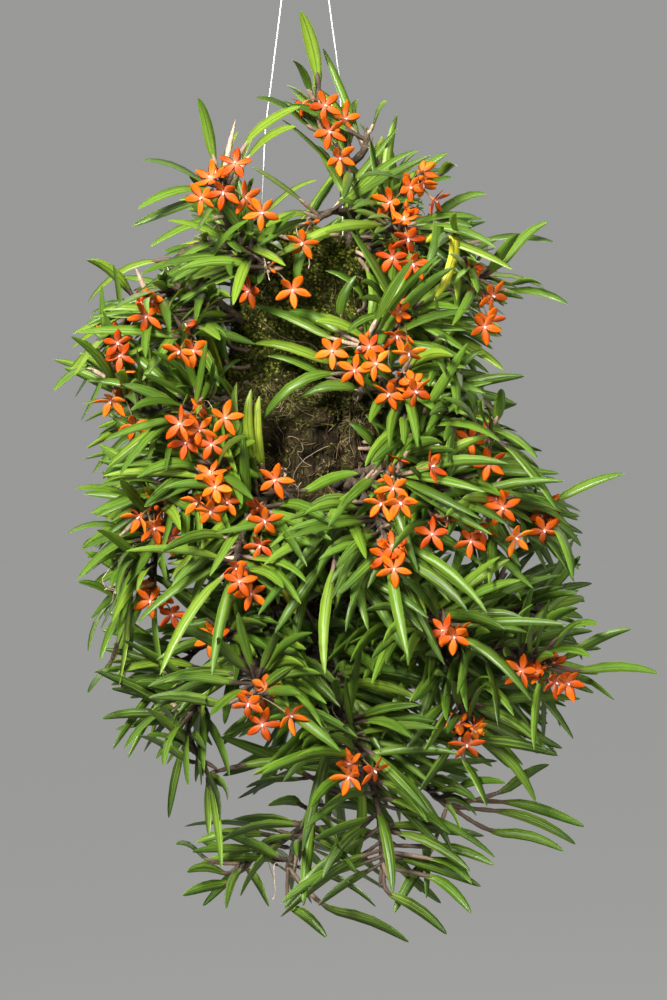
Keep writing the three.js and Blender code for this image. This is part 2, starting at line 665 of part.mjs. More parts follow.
function onFlower(flower, radius, angle, lift) {
  const { across, over } = flowerFrame(flower);
  const point = flower.centre.clone().addScaledVector(flower.facing, lift * flower.size);
  point.addScaledVector(across, radius * flower.size * Math.cos(angle));
  return point.addScaledVector(over, radius * flower.size * Math.sin(angle));
}

function flowerBalls(flower) {
  const balls = [{ point: flower.centre, radius: 3, run: 99 }];
  for (let tepal = 0; tepal < tepalCount; tepal += 1) {
    const angle = flower.spin + (tepal * 2 * Math.PI) / tepalCount;
    for (const [share, lift, radius] of [[0.34, 0.8, 2.6], [0.6, 1.4, 3], [0.88, 2.2, 2]]) {
      balls.push({ point: onFlower(flower, tepalLength * share, angle, lift), radius, run: 99 });
    }
  }
  return balls;
}

function flowerSolid(flower, heart) {
  const halfAngle = Math.atan2(tepalWidth / 2, tepalLength * 0.54);
  const places = [];
  for (let tepal = 0; tepal < tepalCount; tepal += 1) {
    const middle = flower.spin + (tepal * 2 * Math.PI) / tepalCount;
    places.push(onFlower(flower, 2.7, middle - Math.PI / tepalCount, 0));
    places.push(onFlower(flower, tepalLength * 0.56, middle - halfAngle, 1));
    places.push(onFlower(flower, tepalLength, middle, 2.4));
    places.push(onFlower(flower, tepalLength * 0.56, middle + halfAngle, 1));
  }
  const knee = kneeOf(flower, heart);
  const sunk = heart.clone().addScaledVector(heart.clone().sub(knee ?? flower.centre).normalize(), 2);
  places.push(onFlower(flower, 0, 0, 1.8), knee ?? sunk);
  const faces = [];
  const edge = 4 * tepalCount;
  for (let index = 0; index < edge; index += 1) {
    faces.push(index, (index + 1) % edge, edge);
  }
  for (let first = 0; first < edge; first += 4) {
    const next = (first + 4) % edge;
    faces.push(first + 2, first + 1, first + 3);
    faces.push(first + 3, first + 1, first, first + 3, first, next);
    faces.push(next, first, edge + 1);
  }
  const bloom = toSolid(meshOf(places, faces));
  if (!knee) {
    return bloom;
  }
  const stalk = [sunk, knee.clone().addScaledVector(flower.facing, 2)];
  return bloom.add(toSolid(loft(tubeRings(stalk, [1.2, 1.2], 3))));
}

// A flower that opens sideways from its tuft is drawn down into a knee first
function kneeOf(flower, heart) {
  const way = flower.centre.clone().sub(heart).normalize();
  if (way.dot(flower.facing) > 0.5) {
    return null;
  }
  return flower.centre.clone().addScaledVector(flower.facing, -kneeDepth);
}

function stalkBalls(flower, heart) {
  const knee = kneeOf(flower, heart) ?? flower.centre;
  return [0.3, 0.55, 0.8, 1].map((share) => ({
    point: heart.clone().lerp(knee, share), radius: 1 + 0.9 * share, run: 20,
  }));
}

const blooms = [];
sprays.forEach((spray, sprayNumber) => {
  spray.arms.forEach((arm, armNumber) => {
    if (!arm.flowers) {
      return;
    }
    const { point: end, heading } = alongChain(arm.chain, arm.length);
    const { heart } = arm;
    const side = Math.sign(end.y) || -1;
    const bloom = { name: `bloom_${spray.name}_${armNumber + 1}`, end, heading, heart, flowers: [] };
    arm.flowers.forEach(([x, z], flowerNumber) => {
      let best = { free: -Infinity };
      for (let attempt = 0; attempt < flowerAttempts; attempt += 1) {
        const seed = flowerSeed * (sprayNumber + 1) + armNumber * 401 + flowerNumber * 37;
        const draw = draws(seed + attempt);
        const depth = end.y + side * (5 + flowerNumber * 5 + (attempt % 12) * 2.5);
        const centre = side < 0 ? seen(x, depth, z) : vec(x, depth, z);
        centre.add(vec((draw() - 0.5) * 0.3 * attempt, 0, (draw() - 0.5) * 0.3 * attempt));
        const facing = outward(centre).multiplyScalar(0.5);
        facing.addScaledVector(centre.clone().sub(end).normalize(), 0.25);
        facing.add(vec((draw() - 0.5) * 0.6, side * 0.9, (draw() - 0.35) * 0.5)).normalize();
        const flower = { centre, facing, spin: draw() * 2 * Math.PI, size: 0.94 + 0.12 * draw() };
        flower.free = room([...flowerBalls(flower), ...stalkBalls(flower, heart)], spray.name);
        if (flower.free > best.free) {
          best = flower;
        }
        if (best.free > 0.5) {
          break;
        }
      }
      bloom.flowers.push(best);
      place(bloom.name, "bloom", [...flowerBalls(best), ...stalkBalls(best, heart)]);
    });
    blooms.push(bloom);
  });
});

// The other leaves leave the slab's bare front open and keep to the plant's outline
function inBounds(balls) {
  return balls.every(({ point }) => {
    const nearness = 1 + point.y / viewDistance;
    const x = viewCentreX + (point.x - viewCentreX) / nearness;
    const z = viewCentreZ + (point.z - viewCentreZ) / nearness;
    const bareFront = x > -46 && x < 56 && z < -424 && z > -648 && point.y < 10;
    const [left, right] = [between(outline, z, 1), between(outline, z, 2)];
    const depthLimit = Math.min(178, (right - left) * 0.44);
    const within = x > left && x < right && z < -230 && z > -1056;
    return !bareFront && within && Math.abs(point.y) < depthLimit;
  });
}

sprays.forEach((spray, sprayNumber) => {
  const total = spray.arms.reduce((sum, arm) => sum + arm.length, 0);
  for (let number = 0; number < spray.fill; number += 1) {
    for (let attempt = 0; attempt < fillAttempts; attempt += 1) {
      const draw = draws(fillSeed + sprayNumber * 9001 + number * 211 + attempt);
      let run = ((number + draw()) / spray.fill) * total;
      let armNumber = 0;
      while (armNumber < spray.arms.length - 1 && run > spray.arms[armNumber].length) {
        run -= spray.arms[armNumber].length;
        armNumber += 1;
      }
      const arm = spray.arms[armNumber];
      const { point: root, heading } = alongChain(arm.chain, 24 + run * (1 - 30 / arm.length));
      const direction = outward(root).multiplyScalar(0.55).addScaledVector(heading, 0.45);
      direction.add(vec((draw() - 0.5) * 1.7, (draw() - 0.5) * 1.2, (draw() - 0.45) * 1.5)).normalize();
      const length = leafLength * (0.78 + 0.36 * draw());
      const base = root.clone().addScaledVector(direction, shootLength * (0.6 + 0.7 * draw()));
      const droop = length * (0.1 + 0.35 * draw());
      const tip = base.clone().addScaledVector(direction, length);
      tip.z -= droop;
      const bow = vec((draw() - 0.5) * 8, (draw() - 0.5) * 8, droop * 0.28);
      const up = outward(base).multiplyScalar(0.6).add(vec(draw() - 0.5, draw() - 0.5, 0.7));
      const leaf = { root, base, tip, bow };
      leaf.side = leafSide(leaf, up);
      if (tryLeaf(leaf, spray, inBounds)) {
        break;
      }
    }
  }
});

// A blade is flat above and keeled below: share of the blade, share of the width, of the thickness
const bladeSections = [[0.3, 0.96, 1], [0.76, 0.88, 0.85]];

function leafSolid(leaf) {
  const sections = bladeSections.map(([bladeShare, width, thickness]) =>
    [leaf.shootShare + (1 - leaf.shootShare) * bladeShare, width, thickness]);
  const rings = [[0, 0.3, 0.9], ...sections].map(([share, width, thickness]) => {
    const { centre, across, face } = leafFrame(leaf, share);
    const halfWidth = (leafWidth / 2) * width;
    const left = centre.clone().addScaledVector(across, -halfWidth).addScaledVector(face, 0.5);
    const right = centre.clone().addScaledVector(across, halfWidth).addScaledVector(face, 0.5);
    return [left, centre.clone().addScaledVector(face, 0.5 - leafThickness * thickness), right];
  });
  return toSolid(loft(rings, leaf.tip));
}

function slabBody() {
  const levels = 12;
  const around = 16;
  const rings = [];
  for (let level = 0; level <= levels; level += 1) {
    const share = level / levels;
    const z = slabTop + (slabBottom - slabTop) * (share - 0.04 * Math.sin(2 * Math.PI * share));
    rings.push(Array.from({ length: around }, (_, step) => slabPoint((2 * Math.PI * step) / around, z)));
  }
  return toSolid(loft(rings));
}

// The plain hole that a stem or a wire stands in, a little wider and deeper than it
function socketSolid(chain, radius, sides) {
  const heading = chain[1].clone().sub(chain[0]).normalize();
  const deep = chain[0].clone().addScaledVector(heading, -seatGap);
  const wider = radius + seatGap / Math.cos(Math.PI / sides);
  const rings = tubeRings(chain, [wider, wider], sides);
  rings[0].forEach((point) => point.add(deep).sub(chain[0]));
  return toSolid(loft(rings));
}

let slabSolid = slabBody();
for (const spray of sprays) {
  let solid = null;
  for (const arm of spray.arms) {
    const tube = toSolid(loft(tubeRings(arm.chain, arm.radii, stemSides)));
    solid = solid ? solid.add(tube) : tube;
  }
  for (const leaf of spray.leaves) {
    solid = solid.add(leafSolid(leaf));
  }
  const rootStretch = spray.arms[0].chain.slice(0, 2);
  slabSolid = slabSolid.subtract(socketSolid(rootStretch, stemRootRadius, stemSides));
  addPiece(`spray_${spray.name}`, solid, green, 0.45);
}
for (const { chain } of legs) {
  slabSolid = slabSolid.subtract(socketSolid([chain.at(-1), chain.at(-2)], wireRadius, 6));
}
addPiece("mount_slab", slabSolid, fibreBrown, 0.95);

// Each bloom cluster is a tuft of bracts just off the stem's end, with its flowers
for (const { name, end, heading, heart, flowers } of blooms) {
  const [foot, waist, top] = [seatGap, tuftLength / 2, tuftLength].map((reach) =>
    end.clone().addScaledVector(heading, reach));
  let solid = toSolid(loft(tubeRings([foot, waist], [2.4, 4.2], 5), top));
  for (const flower of flowers) {
    solid = solid.add(flowerSolid(flower, heart));
  }
  addPiece(name, solid, orange, 0.5);
}

export default group;
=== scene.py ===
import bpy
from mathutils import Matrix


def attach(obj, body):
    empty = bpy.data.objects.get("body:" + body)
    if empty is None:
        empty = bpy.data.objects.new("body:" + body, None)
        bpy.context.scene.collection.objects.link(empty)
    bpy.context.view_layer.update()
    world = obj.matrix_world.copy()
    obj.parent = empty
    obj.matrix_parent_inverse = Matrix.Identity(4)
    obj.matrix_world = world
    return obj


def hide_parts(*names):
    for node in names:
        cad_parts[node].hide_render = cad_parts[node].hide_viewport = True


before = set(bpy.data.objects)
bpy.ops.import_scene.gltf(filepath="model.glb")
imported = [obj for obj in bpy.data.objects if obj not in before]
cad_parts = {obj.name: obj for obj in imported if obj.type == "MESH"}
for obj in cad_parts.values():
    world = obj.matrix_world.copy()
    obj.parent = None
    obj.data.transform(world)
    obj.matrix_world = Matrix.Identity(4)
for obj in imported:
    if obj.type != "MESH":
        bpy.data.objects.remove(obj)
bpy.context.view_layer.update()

import math
import random

import bpy
import numpy as np
from mathutils import Vector
from mathutils.bvhtree import BVHTree

# The hanger is an S-shaped hook bent from 2.6 mm galvanised wire, and two 1.8 mm wires whose small crooks
# hang side by side in its lower crook. Their other ends are pushed into holes in the slab's top.
MM = 0.001
WIRE_RADIUS = 0.9
HOOK_WIRE_RADIUS = 1.3
HOOK_INNER_RADIUS = 10
LOWER_CROOK_RADIUS = 6.5
LOWER_CROOK_Z = -41
WIRE_CROOK_RADIUS = 2.65
CROOK_PLAY = 0.15


class Value:
    """A node's output that takes part in arithmetic, each step of which adds a Math node."""

    def __init__(self, network, socket):
        self.network = network
        self.socket = socket

    def beside(self, name):
        """Another output of the same node."""
        return Value(self.network, self.socket.node.outputs[name])

    def __rsub__(self, other):
        return self.network.math("SUBTRACT", other, self)

    def __abs__(self):
        return self.network.math("ABSOLUTE", self)


for word, step in {"add": "ADD", "radd": "ADD", "sub": "SUBTRACT", "mul": "MULTIPLY", "rmul": "MULTIPLY",
                   "pow": "POWER", "lt": "LESS_THAN", "gt": "GREATER_THAN"}.items():
    setattr(Value, f"__{word}__", lambda self, other, step=step: self.network.math(step, self, other))


class Network:
    """A tree of nodes, built node by node."""

    def node(self, kind, settings=None, values=None, out=0):
        node = self.tree.nodes.new(kind)
        for name, value in (settings or {}).items():
            setattr(node, name, value)
        for key, value in (values or {}).items():
            self.feed(node.inputs[key], value)
        return Value(self, node.outputs[out])

    def feed(self, socket, value):
        if isinstance(value, Value):
            self.tree.links.new(value.socket, socket)
        else:
            socket.default_value = (*value, 1) if socket.type == "RGBA" else value

    def math(self, operation, *operands):
        return self.node("ShaderNodeMath", {"operation": operation}, dict(enumerate(operands)))


class Finish(Network):
    """A material."""

    def __init__(self, name, **constants):
        self.material = bpy.data.materials.new(name)
        self.material.use_nodes = True
        self.tree = self.material.node_tree
        self.shader = self.tree.nodes["Principled BSDF"]
        for socket, value in constants.items():
            self.shader.inputs[socket.replace("_", " ")].default_value = value

    def mark(self, name):
        return self.node("ShaderNodeAttribute", {"attribute_name": name}, out=2)

    def place(self, stretch):
        """The place on the object, with a scale for each axis."""
        place = self.node("ShaderNodeTexCoord", out=3)
        return self.node("ShaderNodeMapping", None, {"Vector": place, "Scale": stretch})

    def noise(self, scale, detail=3, stretch=(1, 1, 1)):
        values = {"Vector": self.place(stretch), "Scale": scale, "Detail": detail}
        return self.node("ShaderNodeTexNoise", None, values)

    def streaks(self, *marks):
        """A noise over three marks, such as the place across and along a leaf."""
        place = self.node("ShaderNodeCombineXYZ", None, dict(enumerate(marks)))
        return self.node("ShaderNodeTexNoise", None, {"Vector": place, "Scale": 1.0, "Detail": 2.0})

    def ramp(self, value, *stops):
        made = self.node("ShaderNodeValToRGB", None, {"Fac": value})
        elements = made.socket.node.color_ramp.elements
        while len(elements) < len(stops):
            elements.new(1)
        for element, (place, colour) in zip(elements, stops):
            element.position = place
            element.color = (*colour, 1)
        return made

    def mix(self, share, first, second):
        settings = {"data_type": "RGBA", "clamp_factor": True}
        return self.node("ShaderNodeMix", settings, {0: share, 6: first, 7: second}, out=2)

    def finish(self, colour, roughness, height=None, depth=0.0005):
        self.feed(self.shader.inputs["Base Color"], colour)
        self.feed(self.shader.inputs["Roughness"], roughness)
        if height is not None:
            values = {"Height": height, "Distance": depth, "Strength": 1.0}
            self.feed(self.shader.inputs["Normal"], self.node("ShaderNodeBump", None, values))
        return self.material


def marked_finish(name, mark, roughness, *stops, **constants):
    """A material whose colour follows one mark of its mesh."""
    made = Finish(name, **constants)
    return made.finish(made.ramp(made.mark(mark), *stops), roughness)


def placed(name, data):
    made = bpy.data.objects.new(name, data)
    bpy.context.scene.collection.objects.link(made)
    return made


def store(mesh, name, values):
    """Keeps a number for each point of the mesh, for its growth or its finish."""
    layer = mesh.attributes.new(name, "FLOAT", "POINT")
    layer.data.foreach_set("value", np.asarray(values, np.float32))


class Growth(Network):
    """A Geometry Nodes tree with named inputs."""

    def __init__(self, name, **inputs):
        self.tree = bpy.data.node_groups.new(name, "GeometryNodeTree")
        new_socket = self.tree.interface.new_socket
        new_socket("Geometry", in_out="INPUT", socket_type="NodeSocketGeometry")
        self.keys = {}
        for label, kind in inputs.items():
            self.keys[label] = new_socket(label, in_out="INPUT", socket_type="NodeSocket" + kind).identifier
        new_socket("Geometry", in_out="OUTPUT", socket_type="NodeSocketGeometry")
        given = self.tree.nodes.new("NodeGroupInput").outputs
        self.start = {socket.name: Value(self, socket) for socket in given}

    def named(self, name, kind="FLOAT"):
        return self.node("GeometryNodeInputNamedAttribute", {"data_type": kind}, {"Name": name})

    def close(self, geometry):
        real = self.node("GeometryNodeRealizeInstances", None, {"Geometry": geometry})
        smooth = self.node("GeometryNodeSetShadeSmooth", None, {"Geometry": real})
        dressed = self.node("GeometryNodeSetMaterial", None,
                            {"Geometry": smooth, "Material": self.start["Material"]})
        self.feed(self.tree.nodes.new("NodeGroupOutput").inputs["Geometry"], dressed)

    def make(self, name, mesh, **values):
        """Grows the tree on the mesh and keeps the result as a plain mesh."""
        seedling = placed("seedling", mesh)
        modifier = seedling.modifiers.new("growth", "NODES")
        modifier.node_group = self.tree
        for label, value in values.items():
            modifier[self.keys[label]] = value
        graph = bpy.context.evaluated_depsgraph_get()
        grown = bpy.data.meshes.new_from_object(seedling.evaluated_get(graph))
        bpy.data.objects.remove(seedling)
        grown.name = name
        return grown


def piece(name, slot, node, *meshes):
    """One object from one or more finished meshes, riding on the one body and standing for a CAD node."""
    made = placed(name, meshes[0])
    if len(meshes) > 1:
        others = [placed(name + "_more", mesh) for mesh in meshes[1:]]
        with bpy.context.temp_override(active_object=made, selected_editable_objects=[made, *others]):
            bpy.ops.object.join()
    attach(made, "root")
    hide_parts(node)


def section(name, outline):
    """A closed outline that is swept along lines, with the place across it kept for the finish."""
    mesh = bpy.data.meshes.new(name)
    count = len(outline)
    mesh.from_pydata([(x, y, 0) for x, y in outline], [(i, (i + 1) % count) for i in range(count)], [])
    store(mesh, "side", [x for x, _ in outline])
    return placed(name, mesh)


def round_section(sides):
    turns = [2 * math.pi * side / sides for side in range(sides)]
    return section(f"round_{sides}", [(math.cos(turn), math.sin(turn)) for turn in turns])


def unit(vector):
    return vector / np.linalg.norm(vector, axis=-1, keepdims=True)


def carried(points, broad=(0.31, 0.17, 0.94)):
    """A way across each point of a line, turned on from the one before so that a tube doesn't twist."""
    ways = []
    way = np.array(broad, float)
    for heading in unit(np.gradient(points, axis=0)):
        way = unit(way - heading * way.dot(heading))
        ways.append(way)
    return np.array(ways)


class Lines:
    """Midlines that are swept into one mesh. Each point has its reach, the way of its width, its share of
    the line's run, and its shade."""

    def __init__(self):
        self.count = 0
        self.columns = {"points": [], "reach": [], "broad": [], "run": [], "shade": []}
        self.edges = []

    def add(self, points, reach, shade=0.5, broad=None):
        count = len(points)
        points = np.asarray(points, float)
        rows = {
            "points": points,
            "reach": np.broadcast_to(reach, count),
            "broad": carried(points) if broad is None else broad,
            "run": np.linspace(0, 1, count),
            "shade": np.broadcast_to(shade, count),
        }
        for key, row in rows.items():
            self.columns[key].append(row)
        self.edges += [(self.count + i, self.count + i + 1) for i in range(count - 1)]
        self.count += count

    def sweep(self, name, outline, material):
        columns = {key: np.concatenate(rows) for key, rows in self.columns.items()}
        mesh = bpy.data.meshes.new(name)
        mesh.from_pydata((columns["points"] * MM).tolist(), self.edges, [])
        for key, scale in (("reach", MM), ("run", 1), ("shade", 1)):
            store(mesh, key, columns[key] * scale)
        layer = mesh.attributes.new("broad", "FLOAT_VECTOR", "POINT")
        layer.data.foreach_set("vector", columns["broad"].astype(np.float32).ravel())
        return sweeping.make(name, mesh, Section=outline, Material=material)


sweeping = Growth("sweeping", Section="Object", Material="Material")
midlines = sweeping.node("GeometryNodeMeshToCurve", None, {"Mesh": sweeping.start["Geometry"]})
midlines = sweeping.node("GeometryNodeSetCurveNormal", {"mode": "FREE"},
                         {"Curve": midlines, "Normal": sweeping.named("broad", "FLOAT_VECTOR")})
outline_mesh = sweeping.node("GeometryNodeObjectInfo", None, {"Object": sweeping.start["Section"]}, out=4)
outline_curve = sweeping.node("GeometryNodeMeshToCurve", None, {"Mesh": outline_mesh})
sweeping.close(sweeping.node("GeometryNodeCurveToMesh", None, {
    "Curve": midlines, "Profile Curve": outline_curve, "Scale": sweeping.named("reach"), "Fill Caps": True}))


def arc(centre_z, radius, start, end, count):
    turns = np.radians(np.linspace(start, end, count + 1))
    return np.stack([radius * np.cos(turns), 0 * turns, centre_z + radius * np.sin(turns)], axis=1)


galvanised = Finish("galvanised_wire", Metallic=0.85)
spangle = galvanised.noise(900, 2)
galvanised.finish(galvanised.ramp(spangle, (0.3, (0.36, 0.38, 0.4)), (0.7, (0.66, 0.68, 0.7))),
                  0.3 + 0.2 * spangle, spangle, 0.00005)

hook_line = np.concatenate([
    arc(-HOOK_INNER_RADIUS, HOOK_INNER_RADIUS + HOOK_WIRE_RADIUS, 205, -45, 30),
    [(5.6, 0, -20.4), (1.2, 0, -24.5), (-2.4, 0, -28.6), (-4.6, 0, -33)],
    arc(LOWER_CROOK_Z, LOWER_CROOK_RADIUS, 180, 375, 24),
])
wire_round = round_section(12)
hook = Lines()
hook.add(hook_line, HOOK_WIRE_RADIUS, broad=np.tile((0, 1, 0), (len(hook_line), 1)))
piece("hook_wire", "zinc_wire", "hanger_hook", hook.sweep("hook_wire", wire_round, galvanised.material))

LEGS = {
    "left": (-1.3, [(-3.5, -2, -66), (-35, 0, -316), (-39, 0, -392), (-40, 0, -452)]),
    "right": (1.3, [(3.5, -2, -66), (32, 0, -278), (34, 0, -374), (35, 0, -440)]),
}
for hand, (shift, lower) in LEGS.items():
    crook_z = LOWER_CROOK_Z - LOWER_CROOK_RADIUS + CROOK_PLAY
    turns = np.radians(np.linspace(160, -10, 14))
    crook = np.stack([shift + 0 * turns, -WIRE_CROOK_RADIUS * np.cos(turns),
                      crook_z + WIRE_CROOK_RADIUS * np.sin(turns)], axis=1)
    leg = Lines()
    leg.add(np.concatenate([crook, lower]), WIRE_RADIUS)
    piece(f"leg_wire_{hand}", "zinc_wire", f"hanger_leg_{hand}",
          leg.sweep("leg_wire", wire_round, galvanised.material))


# The slab is a sawn length of tree-fern trunk, a felt of dark fibres with hollows where rootlets rotted
# away. Moss has grown over its upper half, and bare brown fibre shows below.
SLAB_TOP = -414
SLAB_BOTTOM = -758
SLAB_CENTRE_X = 4
SLAB_HALF_DEPTH = 32
SLAB_FLATNESS = 0.8
SLAB_SHAPE_POWER = 2.5
# the waves of its surface: their height, their number around it, and their angle to a millimetre of height
SLAB_WAVES = [(2.6, 5, 0.031), (2, 7, -0.043), (2.4, 2, 0.071)]
SLAB_PROFILE = [
    (SLAB_TOP, 28), (-422, 46), (-446, 52), (-500, 60), (-560, 63), (-600, 61), (-650, 57), (-700, 50),
    (-738, 38), (SLAB_BOTTOM, 22),
]
# the hollows of its front: x, z, reach and depth
SLAB_HOLLOWS = [
    (12, -592, 9, 11), (4, -613, 9, 10), (-22, -590, 9, 9), (-25, -606, 9, 8), (22, -566, 5, 7),
    (24, -580, 5, 8), (25, -596, 5, 8), (25, -611, 5, 7), (27, -626, 5, 6), (48, -600, 6, 6),
    (48, -618, 6, 6),
]
FRONT_HALF_WIDTH = 60
MOSS_EDGE = -562
MOSS_FADE = 60
MOSS_CUSHION = 8
MOSS_CUSHION_Z = -505
MOSS_CUSHION_REACH = 52
FELT_SINK = 0.0108
TUFT_SHOOTS = 4
TUFTS_TO_SQUARE_METRE = 170000.0
BARE_MOSS_SHARE = 0.05
LOOSE_FIBRES = 1500
PALE_ROOTLETS = 80
MATTED_FIBRES = 8200


def between(table, at, column):
    """A value read between the rows of a table whose first column falls."""
    heights = [-row[0] for row in table]
    return np.interp(-np.asarray(at, float), heights, [row[column] for row in table])


def slab_halves(z):
    """The slab's half width and half depth at this height."""
    half_width = between(SLAB_PROFILE, z, 1)
    return half_width, np.minimum(SLAB_HALF_DEPTH, SLAB_FLATNESS * half_width)


def slab_point(angle, z, lift=0.0):
    half_width, half_depth = slab_halves(z)
    relief = sum(height * np.sin(turns * angle + rise * z) for height, turns, rise in SLAB_WAVES)
    for x, height, size, depth in SLAB_HOLLOWS:
        away = (FRONT_HALF_WIDTH * np.sin(angle) - x) ** 2 + (z - height) ** 2
        relief = relief - np.where(np.cos(angle) > 0, depth * np.exp(-away / size ** 2), 0)
    level = np.exp(-((z - MOSS_CUSHION_Z) / MOSS_CUSHION_REACH) ** 2)
    cushion = MOSS_CUSHION * level * np.maximum(0, -np.sin(angle)) ** 2
    relief = relief * np.minimum(1, half_width / 50) + cushion + lift
    power = 2 / SLAB_SHAPE_POWER
    x = np.sign(np.sin(angle)) * (half_width + relief) * np.abs(np.sin(angle)) ** power
    y = -np.sign(np.cos(angle)) * (half_depth + relief) * np.abs(np.cos(angle)) ** power
    return np.stack(np.broadcast_arrays(SLAB_CENTRE_X + x, y, np.asarray(z, float)), axis=-1)


def in_slab(points, margin):
    half_width, half_depth = slab_halves(points[:, 2])
    across = np.abs(points[:, 0] - SLAB_CENTRE_X) / (half_width + margin)
    deep = np.abs(points[:, 1]) / (half_depth + margin)
    level = (points[:, 2] < SLAB_TOP + margin) & (points[:, 2] > SLAB_BOTTOM - margin)
    return (across ** SLAB_SHAPE_POWER + deep ** SLAB_SHAPE_POWER < 1) & level


def gloom_at(x, z):
    """How deep in the shadow of a hollow a place at the slab's front lies."""
    return sum(np.exp(-((x - at) ** 2 + (z - height) ** 2) / (0.9 * size) ** 2)
               for at, height, size, _ in SLAB_HOLLOWS)


def slab_mesh(levels, around):
    heights = np.linspace(SLAB_TOP, SLAB_BOTTOM, levels + 1)
    turns = np.arange(around) * 2 * math.pi / around
    grid = slab_point(turns[None, :], heights[:, None]).reshape(-1, 3)
    faces = []
    for level in range(levels):
        for step in range(around):
            a, b = level * around + step, level * around + (step + 1) % around
            faces.append((a, a + around, b + around, b))
    top, bottom = len(grid), len(grid) + 1
    grid = np.concatenate([grid, [(SLAB_CENTRE_X, 0, SLAB_TOP + 3), (SLAB_CENTRE_X, 0, SLAB_BOTTOM - 2)]])
    last = levels * around
    for step in range(around):
        after = (step + 1) % around
        faces += [(step, after, top), (last + after, last + step, bottom)]
    mesh = bpy.data.meshes.new("slab")
    mesh.from_pydata((grid * MM).tolist(), [], faces)
    store(mesh, "mossy", np.clip((grid[:, 2] - MOSS_EDGE) / MOSS_FADE + 0.5, 0, 1))
    store(mesh, "gloom", gloom_at(grid[:, 0], grid[:, 2]) * (grid[:, 1] < 0))
    return mesh


# fibre ridges that run up and down, and lumps of moss
felting = Growth("felting", Ridge="Float", Lump="Float", Material="Material")
fine = felting.node("GeometryNodeSubdivideMesh", None, {"Mesh": felting.start["Geometry"], "Level": 1})
place = felting.node("GeometryNodeInputPosition")
stretched = felting.node("ShaderNodeVectorMath", {"operation": "MULTIPLY"}, {0: place, 1: (1, 1, 0.16)})
ridges = felting.node("ShaderNodeTexNoise", None, {"Vector": stretched, "Scale": 260.0, "Detail": 3.0})
lumps = felting.node("ShaderNodeTexNoise", None, {"Vector": place, "Scale": 70.0, "Detail": 2.0})
height = felting.math("MULTIPLY_ADD", lumps, felting.start["Lump"], ridges * felting.start["Ridge"])
outwards = felting.node("ShaderNodeVectorMath", {"operation": "SCALE"},
                        {0: felting.node("GeometryNodeInputNormal"), "Scale": height - FELT_SINK})
felting.close(felting.node("GeometryNodeSetPosition", None, {"Geometry": fine, "Offset": outwards}))

fern_fibre = Finish("fern_fibre", Specular_IOR_Level=0.1)
mossy = fern_fibre.mark("mossy")
strands = fern_fibre.noise(420, 4, (1, 1, 0.12))
brown = fern_fibre.ramp(strands, (0.36, (0.004, 0.003, 0.0015)), (0.55, (0.026, 0.018, 0.008)),
                        (0.72, (0.075, 0.055, 0.024)))
damp = fern_fibre.ramp(fern_fibre.noise(300, 4), (0.35, (0.004, 0.006, 0.002)), (0.65, (0.045, 0.06, 0.008)))
patches = fern_fibre.noise(40, 3)
ground = fern_fibre.mix(mossy * 0.7 + patches * 1.2 - 0.55, brown, damp)
# painted shade: the hollows of the front darkened towards black, as in their shadow
ground = fern_fibre.mix(fern_fibre.mark("gloom"), ground, (0.004, 0.003, 0.002))
fern_fibre.finish(ground, 0.92, strands, 0.0015)
slab = felting.make("slab_felt", slab_mesh(100, 110), Ridge=0.0045, Lump=0.017, Material=fern_fibre.material)
felt_surface = BVHTree.FromPolygons([vertex.co for vertex in slab.vertices],
                                    [polygon.vertices for polygon in slab.polygons])


def on_felt(points, lift):
    """The points moved on to the felt's surface, and out from it by their lift."""
    moved = []
    for point, out in zip(points, np.broadcast_to(lift, len(points))):
        outward = unit(point - (SLAB_CENTRE_X, 0, point[2]))
        hit = felt_surface.ray_cast(Vector((point + 20 * outward) * MM), Vector(-outward))[0]
        moved.append(np.array(hit) / MM + outward * out if hit else point)
    return np.array(moved)


# tufts of moss: each is a few short pointed shoots
sprout_rng = random.Random(11)
tuft_points, tuft_faces = [], []
for shoot in range(TUFT_SHOOTS):
    turn = 2 * math.pi * shoot / TUFT_SHOOTS + sprout_rng.uniform(-0.4, 0.4)
    lean = sprout_rng.uniform(0.5, 1.4)
    tall = sprout_rng.uniform(1.6, 3.0)
    first = len(tuft_points)
    for corner in range(3):
        side = turn + corner * 2 * math.pi / 3
        tuft_points.append((0.5 * math.cos(side) + 0.4 * math.cos(turn),
                            0.5 * math.sin(side) + 0.4 * math.sin(turn), -0.6))
    tuft_points.append((lean * math.cos(turn), lean * math.sin(turn), tall))
    tuft_faces += [(first, first + 2, first + 1), (first, first + 1, first + 3),
                   (first + 1, first + 2, first + 3), (first + 2, first, first + 3)]
tuft_mesh = bpy.data.meshes.new("tuft")
tuft_mesh.from_pydata([tuple(value * MM for value in point) for point in tuft_points], [], tuft_faces)
tuft = placed("tuft", tuft_mesh)

mossing = Growth("mossing", Tuft="Object", Density="Float", Seed="Int", Material="Material")
density, seed = mossing.start["Density"], mossing.start["Seed"]
cover = mossing.math("MULTIPLY_ADD", density, BARE_MOSS_SHARE, mossing.named("mossy") * density)
spots = mossing.node("GeometryNodeDistributePointsOnFaces", None,
                     {"Mesh": mossing.start["Geometry"], "Density": cover, "Seed": seed})
shade = mossing.node("FunctionNodeRandomValue", {"data_type": "FLOAT"}, {"Seed": seed}, out=1)
shaded = mossing.node("GeometryNodeStoreNamedAttribute", {"data_type": "FLOAT", "domain": "POINT"},
                      {"Geometry": spots, "Name": "shade", "Value": shade})
size = mossing.node("FunctionNodeRandomValue", {"data_type": "FLOAT"}, {2: 0.6, 3: 1.5, "Seed": 5}, out=1)
shoots = mossing.node("GeometryNodeObjectInfo", None, {"Object": mossing.start["Tuft"]}, out=4)
mossing.close(mossing.node("GeometryNodeInstanceOnPoints", None, {
    "Points": shaded, "Instance": shoots, "Rotation": spots.beside("Rotation"), "Scale": size}))

